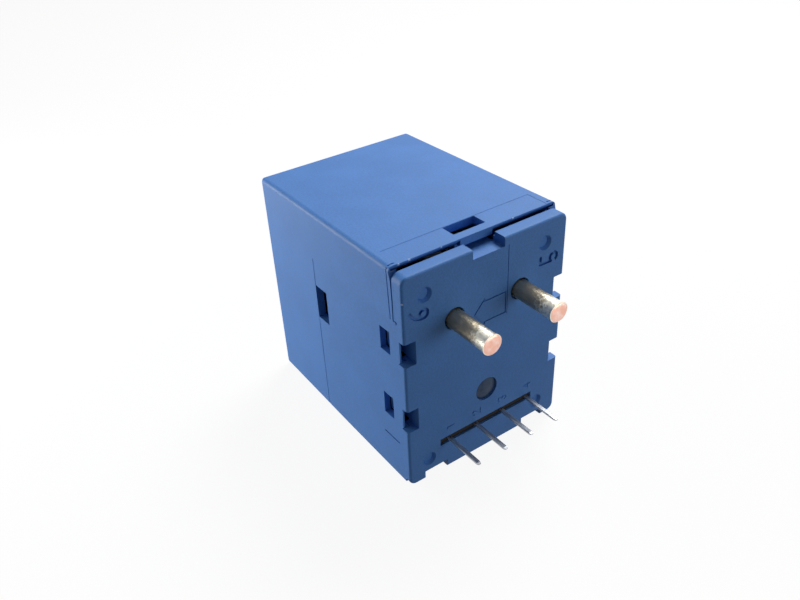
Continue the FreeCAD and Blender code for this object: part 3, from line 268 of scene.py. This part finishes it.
def moulded_plastic(name, colour, grain_size, grain_depth, roughness, gloss=0.4):
    """Plastic straight from the mould: grain in its bump and gloss, cloudiness in its tone."""
    material, tree, shader = blank_material(name)
    grain = tree.nodes.new("ShaderNodeGroup")
    grain.node_tree = grain_group()
    grain.inputs["Grain Scale"].default_value = 1 / grain_size
    tree.links.new(object_coordinates(tree), grain.inputs["Vector"])
    lighter = [min(1.0, channel * 1.14 + 0.004) for channel in colour]
    darker = [channel * 0.86 for channel in colour]
    cloudy = remap(tree, grain.outputs["Cloud"], 0.35, 0.65, 0.0, 1.0)
    speckled = remap(tree, grain.outputs["Grain"], 0.3, 0.7, 0.0, 1.0)
    tone = calculate(tree, "ADD", calculate(tree, "MULTIPLY", cloudy, 0.3),
                     calculate(tree, "MULTIPLY", speckled, 0.7))
    tree.links.new(mix_colour(tree, tone, darker, lighter), shader.inputs["Base Color"])
    tree.links.new(remap(tree, grain.outputs["Grain"], 0.3, 0.7, roughness - 0.06, roughness + 0.06),
                   shader.inputs["Roughness"])
    shader.inputs["Specular IOR Level"].default_value = gloss
    add_bump(tree, shader, grain.outputs["Grain"], grain_depth)
    return material


def painted_highlight_group():
    """A small painted highlight round a place, as a mask."""
    name = "pale_fleck"
    if name in bpy.data.node_groups:
        return bpy.data.node_groups[name]
    group = bpy.data.node_groups.new(name, "ShaderNodeTree")
    group.interface.new_socket("Vector", in_out="INPUT", socket_type="NodeSocketVector")
    group.interface.new_socket("Place", in_out="INPUT", socket_type="NodeSocketVector")
    group.interface.new_socket("Radius", in_out="INPUT", socket_type="NodeSocketFloat")
    group.interface.new_socket("Mask", in_out="OUTPUT", socket_type="NodeSocketFloat")
    nodes, links = group.nodes, group.links
    entry = nodes.new("NodeGroupInput")
    leave = nodes.new("NodeGroupOutput")
    away = nodes.new("ShaderNodeVectorMath")
    away.operation = "DISTANCE"
    links.new(entry.outputs["Vector"], away.inputs[0])
    links.new(entry.outputs["Place"], away.inputs[1])
    share = nodes.new("ShaderNodeMath")
    share.operation = "DIVIDE"
    links.new(away.outputs["Value"], share.inputs[0])
    links.new(entry.outputs["Radius"], share.inputs[1])
    fade = nodes.new("ShaderNodeMapRange")
    fade.inputs["From Min"].default_value = 0.5
    fade.inputs["From Max"].default_value = 1.0
    fade.inputs["To Min"].default_value = 1.0
    fade.inputs["To Max"].default_value = 0.0
    links.new(share.outputs[0], fade.inputs["Value"])
    links.new(fade.outputs["Result"], leave.inputs["Mask"])
    return group


def add_painted_highlights(material, painted_highlights, colour):
    """Paints small pale highlights into a material's colour at a few places, each with its radius."""
    tree = material.node_tree
    shader = next(node for node in tree.nodes if node.type == "BSDF_PRINCIPLED")
    base = shader.inputs["Base Color"].links[0].from_socket
    vector = object_coordinates(tree)
    mask = None
    for place, radius in painted_highlights:
        highlight_spot = tree.nodes.new("ShaderNodeGroup")
        highlight_spot.node_tree = painted_highlight_group()
        tree.links.new(vector, highlight_spot.inputs["Vector"])
        highlight_spot.inputs["Place"].default_value = place
        highlight_spot.inputs["Radius"].default_value = radius
        mask = calculate(tree, "MAXIMUM", mask, highlight_spot.outputs["Mask"]) if mask else highlight_spot.outputs["Mask"]
    # Mixes the painted highlight colour into the base colour where the masks are.
    tree.links.new(mix_colour(tree, mask, base, colour), shader.inputs["Base Color"])


def tinned_metal(name, settings):
    """Dipped tin: dark and blotchy near the case, bright and creamy towards the cut end."""
    material, tree, shader = blank_material(name)
    vector = object_coordinates(tree)
    axes = tree.nodes.new("ShaderNodeSeparateXYZ")
    tree.links.new(vector, axes.inputs["Vector"])
    blotch = noise_value(tree, vector, 0.9 * MM, 4.0, 0.65)
    fine = noise_value(tree, vector, 0.25 * MM, 3.0, 0.7)
    flux_length = 2.5 * MM
    along = remap(tree, axes.outputs["X"], SEAT_X + flux_length, CONDUCTOR_HIGH.x, 0.0, 1.0)
    spread = calculate(tree, "ADD", along, calculate(tree, "SUBTRACT", blotch, 0.5))
    spread = calculate(tree, "ADD", spread,
                       calculate(tree, "MULTIPLY", calculate(tree, "SUBTRACT", fine, 0.5), 0.9))
    bright = remap(tree, spread, 0.33, 0.65, 0.0, 1.0)
    tree.links.new(mix_colour(tree, bright, settings.flux_colour, settings.tin_colour),
                   shader.inputs["Base Color"])
    shader.inputs["Metallic"].default_value = 1.0
    tree.links.new(remap(tree, fine, 0.3, 0.7, 0.28, 0.46), shader.inputs["Roughness"])
    height = calculate(tree, "ADD", blotch, calculate(tree, "MULTIPLY", fine, 0.4))
    add_bump(tree, shader, height, 0.06 * MM)
    return material


def cut_copper(name, settings):
    """The cut end: bare copper, slightly torn, with tin dragged over its rim."""
    material, tree, shader = blank_material(name)
    vector = object_coordinates(tree)
    torn = noise_value(tree, vector, 0.8 * MM, 3.0, 0.6)
    paler = [min(1.0, channel * 0.65 + 0.32) for channel in settings.copper_colour]
    tree.links.new(mix_colour(tree, remap(tree, torn, 0.42, 0.62, 0.0, 1.0), settings.copper_colour, paler),
                   shader.inputs["Base Color"])
    shader.inputs["Metallic"].default_value = 0.95
    tree.links.new(remap(tree, torn, 0.3, 0.7, 0.3, 0.45), shader.inputs["Roughness"])
    add_bump(tree, shader, torn, 0.03 * MM)
    return material


def plain_metal(name, colour, roughness, grain_size):
    """Metal with fine draw marks and a little unevenness in its tone."""
    material, tree, shader = blank_material(name)
    vector = object_coordinates(tree)
    mapping = tree.nodes.new("ShaderNodeMapping")
    mapping.inputs["Scale"].default_value = (0.12, 1.0, 1.0)
    tree.links.new(vector, mapping.inputs["Vector"])
    marks = noise_value(tree, mapping.outputs["Vector"], grain_size, 3.0)
    darker = [channel * 0.75 for channel in colour]
    tree.links.new(mix_colour(tree, remap(tree, marks, 0.35, 0.65, 0.0, 1.0), darker, colour),
                   shader.inputs["Base Color"])
    shader.inputs["Metallic"].default_value = 1.0
    tree.links.new(remap(tree, marks, 0.3, 0.7, roughness - 0.08, roughness + 0.08),
                   shader.inputs["Roughness"])
    add_bump(tree, shader, marks, 0.01 * MM)
    return material


def paint(obj, material):
    """Gives an object one material on all its faces."""
    obj.data.materials.clear()
    obj.data.materials.append(material)


def finish_piece(obj, slot, *nodes):
    """Rides a finished piece on the frame and lets it stand for the nodes named."""
    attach(obj, "root")
    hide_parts(*nodes)


def flatten_modifiers(obj):
    """Turns an object with modifiers into a plain mesh."""
    graph = bpy.context.evaluated_depsgraph_get()
    mesh = bpy.data.meshes.new_from_object(obj.evaluated_get(graph))
    obj.modifiers.clear()
    obj.data = mesh
    return obj


class SENSOR_OT_mould_case(bpy.types.Operator):
    """Moulds the blue cover and the plate that closes it."""

    bl_idname = "sensor.mould_case"
    bl_label = "Mould the case"

    def execute(self, context):
        settings = context.scene.sensor_case
        plastic = moulded_plastic("case_plastic", settings.colour, settings.grain_size, settings.grain_depth,
                                  settings.roughness)
        # Painted highlights: small pale spots painted on the plate's left edge and along the cover's top
        # front edge, where the edges catch light.
        seam_x = SEAT_X - 2.0 * MM
        seam_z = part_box("housing_cover")[1].z - 0.12 * MM
        plate_edge = (SEAT_X - 0.08 * MM, PLATE_LOW.y + 0.06 * MM, 24.64 * MM)
        painted_highlights = [(plate_edge, 0.16 * MM)]
        for across, radius in ((-9.67, 0.16), (-8.4, 0.2), (-4.5, 0.12), (4.9, 0.16)):
            painted_highlights.append(((seam_x, across * MM, seam_z), radius * MM))
        # Colour of the painted highlights.
        painted_highlight_colour = (0.5, 0.68, 0.95)
        add_painted_highlights(plastic, painted_highlights, painted_highlight_colour)
        for node in ("housing_cover", "terminal_plate"):
            paint(frame["nodes"][node], plastic)
        return {"FINISHED"}


def wire_rings(settings):
    """Places along the conductor's U, each with its centre and the direction to the U's inside."""
    radius = settings.wire_radius
    side = CONDUCTOR_HIGH.y - radius
    level = (CONDUCTOR_LOW.z + CONDUCTOR_HIGH.z) / 2
    bend_x = CONDUCTOR_LOW.x + radius + side
    tip_x = CONDUCTOR_HIGH.x
    rings = []
    steps_leg = 64
    steps_bend = 48
    for i in range(steps_leg):
        share = i / steps_leg
        rings.append((Vector((tip_x + (bend_x - tip_x) * share, -side, level)), Vector((0, 1, 0))))
    for i in range(steps_bend + 1):
        turn = math.pi * i / steps_bend
        outward = Vector((-math.sin(turn), -math.cos(turn), 0))
        rings.append((Vector((bend_x, 0, level)) + outward * side, -outward))
    for i in range(steps_leg):
        share = (i + 1) / steps_leg
        rings.append((Vector((bend_x + (tip_x - bend_x) * share, side, level)), Vector((0, -1, 0))))
    return rings


class SENSOR_OT_draw_conductor(bpy.types.Operator):
    """Draws the thick tinned conductor, whose cut ends are the round pins."""

    bl_idname = "sensor.draw_conductor"
    bl_label = "Draw the thick conductor"

    def execute(self, context):
        settings = context.scene.sensor_pins
        radius = settings.wire_radius
        around = 40
        flare_length = 1.3 * MM
        # How quickly the tin's unevenness changes along the wire, round it and from leg to leg.
        along_rate, round_rate, across_rate = 900, 1.3, 500
        work = bmesh.new()
        loops = []
        rings = wire_rings(settings)
        for centre, inward in rings:
            from_tip = max(0.0, CONDUCTOR_HIGH.x - centre.x)
            grow = settings.tip_flare * max(0.0, 1 - from_tip / flare_length) ** 1.5
            loop = []
            for k in range(around):
                turn = 2 * math.pi * k / around
                direction = inward * math.cos(turn) + Vector((0, 0, 1)) * math.sin(turn)
                spot = Vector((centre.x * along_rate, turn * round_rate, centre.y * across_rate))
                uneven = settings.tin_bump * noise.noise(spot)
                wide = 1.0 + 0.5 * abs(math.cos(turn))
                loop.append(work.verts.new(centre + direction * (radius + uneven + grow * wide)))
            loops.append(loop)
        for first, second in zip(loops, loops[1:]):
            for k in range(around):
                work.faces.new((first[k], first[(k + 1) % around], second[(k + 1) % around], second[k]))
        for loop in (loops[0], loops[-1]):
            self.cut_end(work, loop, radius, math.tan(settings.tip_tilt))
        bmesh.ops.recalc_face_normals(work, faces=work.faces)
        mesh = bpy.data.meshes.new("primary_wire")
        work.to_mesh(mesh)
        work.free()
        piece = bpy.data.objects.new("primary_wire", mesh)
        context.scene.collection.objects.link(piece)
        mesh.materials.append(tinned_metal("dipped_tin", settings))
        mesh.materials.append(cut_copper("cut_copper", settings))
        mesh.set_sharp_from_angle(angle=math.radians(50))
        finish_piece(piece, "tinned_copper", "primary_conductor")
        return {"FINISHED"}

    @staticmethod
    def cut_end(work, loop, radius, lean):
        """Rounds the rim, then closes the end with a slightly leaning and uneven copper face."""
        centre = sum((vert.co for vert in loop), Vector()) / len(loop)
        tip_x = CONDUCTOR_HIGH.x
        rim = 0.22 * MM
        lowered = 0.02 * MM
        torn_depth = 0.018 * MM
        torn_rate = 2600
        # Each ring's distance from the rim, inwards and back from the tip, in widths of the rim.
        rim_steps = ((0.30, 0.62), (0.72, 0.28), (1.25, 0.12), (2.4, 0.04), (3.8, 0.0))
        for vert in loop:
            vert.co.x = tip_x - rim
        previous = loop
        for step, (inset, back) in enumerate(rim_steps):
            ring = []
            for vert in loop:
                offset = vert.co - centre
                offset.x = 0.0
                distance = offset.length
                share = max(0.0, 1 - inset * rim / distance)
                place = centre + offset * share
                rough = torn_depth * noise.noise(place * torn_rate) if step > 1 else 0.0
                leaning = min(0.0, -lean * (offset.z * share + radius) * 0.5)
                place.x = tip_x - rim * back + rough - lowered + leaning
                ring.append(work.verts.new(place))
            for k in range(len(loop)):
                face = work.faces.new((previous[k], previous[(k + 1) % len(loop)],
                                       ring[(k + 1) % len(loop)], ring[k]))
                face.material_index = 1 if step > 0 else 0
                face.smooth = True
            previous = ring
        face = work.faces.new(previous)
        face.material_index = 1


def pin_profile():
    """One thin pin, from its tip to its bent tail, as sections with half their height and width."""
    wide = (FIRST_PIN_HIGH.y - FIRST_PIN_LOW.y) / 2
    middle_y = (FIRST_PIN_HIGH.y + FIRST_PIN_LOW.y) / 2
    half = PIN_THICKNESS / 2
    level = FIRST_PIN_HIGH.z - half
    tail_x = FIRST_PIN_LOW.x + half
    bend = 0.525 * MM
    taper = 0.6
    point = 0.3 * MM
    tip = FIRST_PIN_HIGH.x
    sections = [(Vector((tip, 0, level)), Vector((0, 0, 1)), half * taper, wide * taper),
                (Vector((tip - point, 0, level)), Vector((0, 0, 1)), half, wide)]
    corner = Vector((tail_x + bend, 0, level - bend))
    steps_bend = 8
    for i in range(steps_bend + 1):
        turn = math.pi / 2 * i / steps_bend
        outward = Vector((-math.sin(turn), 0, math.cos(turn)))
        sections.append((corner + outward * bend, outward, half, wide))
    sections.append((Vector((tail_x, 0, FIRST_PIN_LOW.z)), Vector((-1, 0, 0)), half, wide))
    return sections, middle_y


def thin_pin_mesh():
    """The mesh of one thin pin, standing at the first pin's depth and height."""
    sections, middle_y = pin_profile()
    across = Vector((0, 1, 0))
    corners = ((-1, -1), (1, -1), (1, 1), (-1, 1))
    work = bmesh.new()
    loops = []
    for centre, outward, half, wide in sections:
        loops.append([work.verts.new(centre + across * (a * wide) + outward * (b * half))
                      for a, b in corners])
    for first, second in zip(loops, loops[1:]):
        for k in range(4):
            work.faces.new((first[k], first[(k + 1) % 4], second[(k + 1) % 4], second[k]))
    work.faces.new(loops[0])
    work.faces.new(loops[-1])
    bmesh.ops.recalc_face_normals(work, faces=work.faces)
    edges = [edge for edge in work.edges if edge.calc_face_angle(0.0) > math.radians(60)]
    bmesh.ops.bevel(work, geom=edges, offset=0.04 * MM, segments=2, profile=0.6, affect="EDGES",
                    clamp_overlap=True)
    mesh = bpy.data.meshes.new("thin_pin")
    work.to_mesh(mesh)
    work.free()
    return mesh, middle_y


def repeat_tree(name, material):
    """A node tree that sets copies of the mesh in a straight row, evenly spaced."""
    tree = bpy.data.node_groups.new(name, "GeometryNodeTree")
    tree.interface.new_socket("Geometry", in_out="INPUT", socket_type="NodeSocketGeometry")
    count = tree.interface.new_socket("Count", in_out="INPUT", socket_type="NodeSocketInt")
    first = tree.interface.new_socket("First", in_out="INPUT", socket_type="NodeSocketVector")
    step = tree.interface.new_socket("Step", in_out="INPUT", socket_type="NodeSocketVector")
    tree.interface.new_socket("Geometry", in_out="OUTPUT", socket_type="NodeSocketGeometry")
    nodes, links = tree.nodes, tree.links
    entry, leave = nodes.new("NodeGroupInput"), nodes.new("NodeGroupOutput")
    row = nodes.new("GeometryNodeMeshLine")
    row.mode = "OFFSET"
    links.new(entry.outputs["Count"], row.inputs["Count"])
    links.new(entry.outputs["First"], row.inputs["Start Location"])
    links.new(entry.outputs["Step"], row.inputs["Offset"])
    copies = nodes.new("GeometryNodeInstanceOnPoints")
    links.new(row.outputs["Mesh"], copies.inputs["Points"])
    links.new(entry.outputs["Geometry"], copies.inputs["Instance"])
    real = nodes.new("GeometryNodeRealizeInstances")
    links.new(copies.outputs["Instances"], real.inputs["Geometry"])
    coat = nodes.new("GeometryNodeSetMaterial")
    coat.inputs["Material"].default_value = material
    links.new(real.outputs["Geometry"], coat.inputs["Geometry"])
    links.new(coat.outputs["Geometry"], leave.inputs["Geometry"])
    return tree, {"Count": count.identifier, "First": first.identifier, "Step": step.identifier}


def repeated_piece(name, mesh, material, count, first, step):
    """Sets a mesh in a row and gives back the finished row as one plain piece."""
    piece = bpy.data.objects.new(name, mesh)
    bpy.context.scene.collection.objects.link(piece)
    tree, sockets = repeat_tree(name + "_row", material)
    modifier = piece.modifiers.new("row", "NODES")
    modifier.node_group = tree
    modifier[sockets["Count"]] = count
    modifier[sockets["First"]] = first
    modifier[sockets["Step"]] = step
    return flatten_modifiers(piece)


class SENSOR_OT_set_signal_pins(bpy.types.Operator):
    """Sets the row of thin pins."""

    bl_idname = "sensor.set_signal_pins"
    bl_label = "Set the thin pins"

    def execute(self, context):
        mesh, middle_y = thin_pin_mesh()
        pitch = SECOND_PIN_LOW.y - FIRST_PIN_LOW.y
        names = sorted(name for name in frame["nodes"] if name.startswith("secondary_pin_"))
        metal = plain_metal("dull_tin", (0.42, 0.44, 0.47), 0.38, 0.3 * MM)
        first = (0.0, middle_y, 0.0)
        piece = repeated_piece("signal_pins", mesh, metal, len(names), first, (0.0, pitch, 0.0))
        finish_piece(piece, "pin_metal", *names)
        return {"FINISHED"}


class SENSOR_OT_fill_plug(bpy.types.Operator):
    """Fills the round hole in the plate with its drop of cured adhesive."""

    bl_idname = "sensor.fill_plug"
    bl_label = "Fill the adhesive hole"

    def execute(self, context):
        material, tree, shader = blank_material("cured_adhesive")
        vector = object_coordinates(tree)
        murk = noise_value(tree, vector, 0.8 * MM, 3.0)
        deep, pale = (0.014, 0.04, 0.10), (0.035, 0.075, 0.15)
        tree.links.new(mix_colour(tree, remap(tree, murk, 0.35, 0.65, 0.0, 1.0), deep, pale),
                       shader.inputs["Base Color"])
        shader.inputs["Roughness"].default_value = 0.4
        shader.inputs["Specular IOR Level"].default_value = 0.22
        add_bump(tree, shader, murk, 0.06 * MM)
        paint(frame["nodes"]["adhesive_plug"], material)
        return {"FINISHED"}


class SENSOR_OT_finish_inside(bpy.types.Operator):
    """Finishes the parts inside the case."""

    bl_idname = "sensor.finish_inside"
    bl_label = "Finish the inside"

    def execute(self, context):
        black = moulded_plastic("black_moulding", (0.012, 0.012, 0.014), 0.15 * MM, 0.008 * MM, 0.6,
                                gloss=0.12)
        board = moulded_plastic("solder_resist", (0.02, 0.12, 0.05), 0.4 * MM, 0.01 * MM, 0.35)
        ceramic = moulded_plastic("capacitor_ceramic", (0.38, 0.24, 0.12), 0.1 * MM, 0.004 * MM, 0.4)
        resistor = moulded_plastic("resistor_glaze", (0.03, 0.03, 0.035), 0.1 * MM, 0.004 * MM, 0.3)
        tape = moulded_plastic("polyester_tape", (0.6, 0.38, 0.05), 0.5 * MM, 0.006 * MM, 0.25)
        sheet = plain_metal("annealed_sheet", (0.42, 0.41, 0.4), 0.42, 0.2 * MM)
        wire = plain_metal("enamelled_wire", (0.5, 0.17, 0.06), 0.3, 0.2 * MM)
        tin = plain_metal("terminal_tin", (0.55, 0.55, 0.53), 0.35, 0.3 * MM)
        finishes = {
            "black_polymer": black, "board_green": board, "capacitor_tan": ceramic, "resistor_body": resistor,
            "yellow_tape": tape, "nickel_iron": sheet, "enamelled_wire": wire, "pin_metal": tin,
        }
        for entry in frame["record"]["subparts"]:
            node = frame["nodes"][entry["node"]]
            if entry["material_slot"] in finishes and not node.hide_render:
                paint(node, finishes[entry["material_slot"]])
        return {"FINISHED"}


def stage_surface(name, bounce):
    """Near white to the camera, with a faint shadow, and plain matt white to all other light."""
    material = bpy.data.materials.new(name)
    material.use_nodes = True
    tree = material.node_tree
    tree.nodes.clear()
    output = tree.nodes.new("ShaderNodeOutputMaterial")
    path = tree.nodes.new("ShaderNodeLightPath")
    seen = calculate(tree, "MAXIMUM", path.outputs["Is Camera Ray"], path.outputs["Is Glossy Ray"])
    seen = calculate(tree, "MAXIMUM", seen, path.outputs["Is Transmission Ray"])
    matt = tree.nodes.new("ShaderNodeBsdfDiffuse")
    tree.links.new(mix_colour(tree, seen, (bounce, bounce, bounce), (1.0, 1.0, 1.0)), matt.inputs["Color"])
    glow = tree.nodes.new("ShaderNodeEmission")
    glow.inputs["Strength"].default_value = 1.0
    share = remap(tree, seen, 0.0, 1.0, 0.0, 0.92)
    mixed = tree.nodes.new("ShaderNodeMixShader")
    tree.links.new(share, mixed.inputs["Fac"])
    tree.links.new(matt.outputs["BSDF"], mixed.inputs[1])
    tree.links.new(glow.outputs["Emission"], mixed.inputs[2])
    tree.links.new(mixed.outputs["Shader"], output.inputs["Surface"])
    return material


def area_lamp(name, place, target, size, power):
    """A round lamp that points at the target."""
    lamp = bpy.data.lights.new(name, "AREA")
    lamp.shape = "DISK"
    lamp.size = size
    lamp.energy = power
    holder = bpy.data.objects.new(name, lamp)
    bpy.context.scene.collection.objects.link(holder)
    aim = Vector(target) - Vector(place)
    holder.matrix_world = Matrix.Translation(place) @ aim.to_track_quat("-Z", "Y").to_matrix().to_4x4()


class SENSOR_OT_set_stage(bpy.types.Operator):
    """Sets the floor, the soft lamps, the even light from all round and the camera."""

    bl_idname = "sensor.set_stage"
    bl_label = "Set the stage"

    def execute(self, context):
        settings = context.scene.sensor_stage
        scene = context.scene
        scene.view_settings.view_transform = "Standard"
        half = settings.floor_size / 2
        mesh = bpy.data.meshes.new("floor")
        mesh.from_pydata([(-half, -half, 0), (half, -half, 0), (half, half, 0), (-half, half, 0)], [],
                         [(0, 1, 2, 3)])
        floor = bpy.data.objects.new("floor", mesh)
        scene.collection.objects.link(floor)
        paint(floor, stage_surface("pale_floor", settings.floor_bounce))
        middle = (0.0, 0.0, 14.0 * MM)
        area_lamp("key_lamp", settings.key_place, middle, settings.key_size, settings.key_power)
        area_lamp("side_lamp", settings.side_place, middle, settings.side_size, settings.side_power)
        area_lamp("fill_lamp", settings.fill_place, middle, settings.fill_size, settings.fill_power)
        self.set_world(scene, settings)
        self.set_camera(scene, settings)
        return {"FINISHED"}

    @staticmethod
    def set_world(scene, settings):
        """White to the camera and in reflections, and faint even light for all else."""
        world = bpy.data.worlds.new("studio")
        scene.world = world
        world.use_nodes = True
        tree = world.node_tree
        tree.nodes.clear()
        output = tree.nodes.new("ShaderNodeOutputWorld")
        back = tree.nodes.new("ShaderNodeBackground")
        path = tree.nodes.new("ShaderNodeLightPath")
        seen = calculate(tree, "MAXIMUM", path.outputs["Is Camera Ray"], path.outputs["Is Glossy Ray"])
        seen = calculate(tree, "MAXIMUM", seen, path.outputs["Is Transmission Ray"])
        level = remap(tree, seen, 0.0, 1.0, settings.ambient, 1.0)
        back.inputs["Color"].default_value = (1.0, 1.0, 1.0, 1.0)
        tree.links.new(level, back.inputs["Strength"])
        tree.links.new(back.outputs["Background"], output.inputs["Surface"])

    @staticmethod
    def set_camera(scene, settings):
        """The camera that matches the photograph's view."""
        data = bpy.data.cameras.new("view")
        data.sensor_width = 36.0
        data.lens = settings.camera_lens
        data.clip_start = 0.005
        data.clip_end = 10.0
        camera = bpy.data.objects.new("view", data)
        scene.collection.objects.link(camera)
        place = Vector(settings.camera_place)
        aim = Vector(settings.camera_target) - place
        level = aim.to_track_quat("-Z", "Y").to_matrix().to_4x4()
        roll = Matrix.Rotation(-settings.camera_roll, 4, "Z")
        camera.matrix_world = Matrix.Translation(place) @ level @ roll
        scene.camera = camera


class SENSOR_PT_panel(bpy.types.Panel):
    """Lists the sensor's steps and settings."""

    bl_idname = "SENSOR_PT_panel"
    bl_label = "Current sensor"
    bl_space_type = "VIEW_3D"
    bl_region_type = "UI"
    bl_category = "Sensor"

    def draw(self, context):
        for group in (context.scene.sensor_case, context.scene.sensor_pins, context.scene.sensor_stage):
            box = self.layout.box()
            for name in group.bl_rna.properties.keys():
                if name not in ("rna_type", "name"):
                    box.prop(group, name)
        for operator in OPERATORS:
            self.layout.operator(operator.bl_idname)


OPERATORS = (
    SENSOR_OT_mould_case,
    SENSOR_OT_draw_conductor,
    SENSOR_OT_set_signal_pins,
    SENSOR_OT_fill_plug,
    SENSOR_OT_finish_inside,
    SENSOR_OT_set_stage,
)
GROUPS = {"sensor_case": CaseSettings, "sensor_pins": PinSettings, "sensor_stage": StageSettings}


def register():
    for item in (*GROUPS.values(), *OPERATORS, SENSOR_PT_panel):
        bpy.utils.register_class(item)
    for name, group in GROUPS.items():
        setattr(bpy.types.Scene, name, PointerProperty(type=group))


def unregister():
    for name in GROUPS:
        delattr(bpy.types.Scene, name)
    for item in (SENSOR_PT_panel, *reversed(OPERATORS), *reversed(list(GROUPS.values()))):
        bpy.utils.unregister_class(item)


def main():
    register()
    bpy.ops.sensor.mould_case()
    bpy.ops.sensor.draw_conductor()
    bpy.ops.sensor.set_signal_pins()
    bpy.ops.sensor.fill_plug()
    bpy.ops.sensor.finish_inside()
    bpy.ops.sensor.set_stage()


if __name__ == "__main__":
    main()
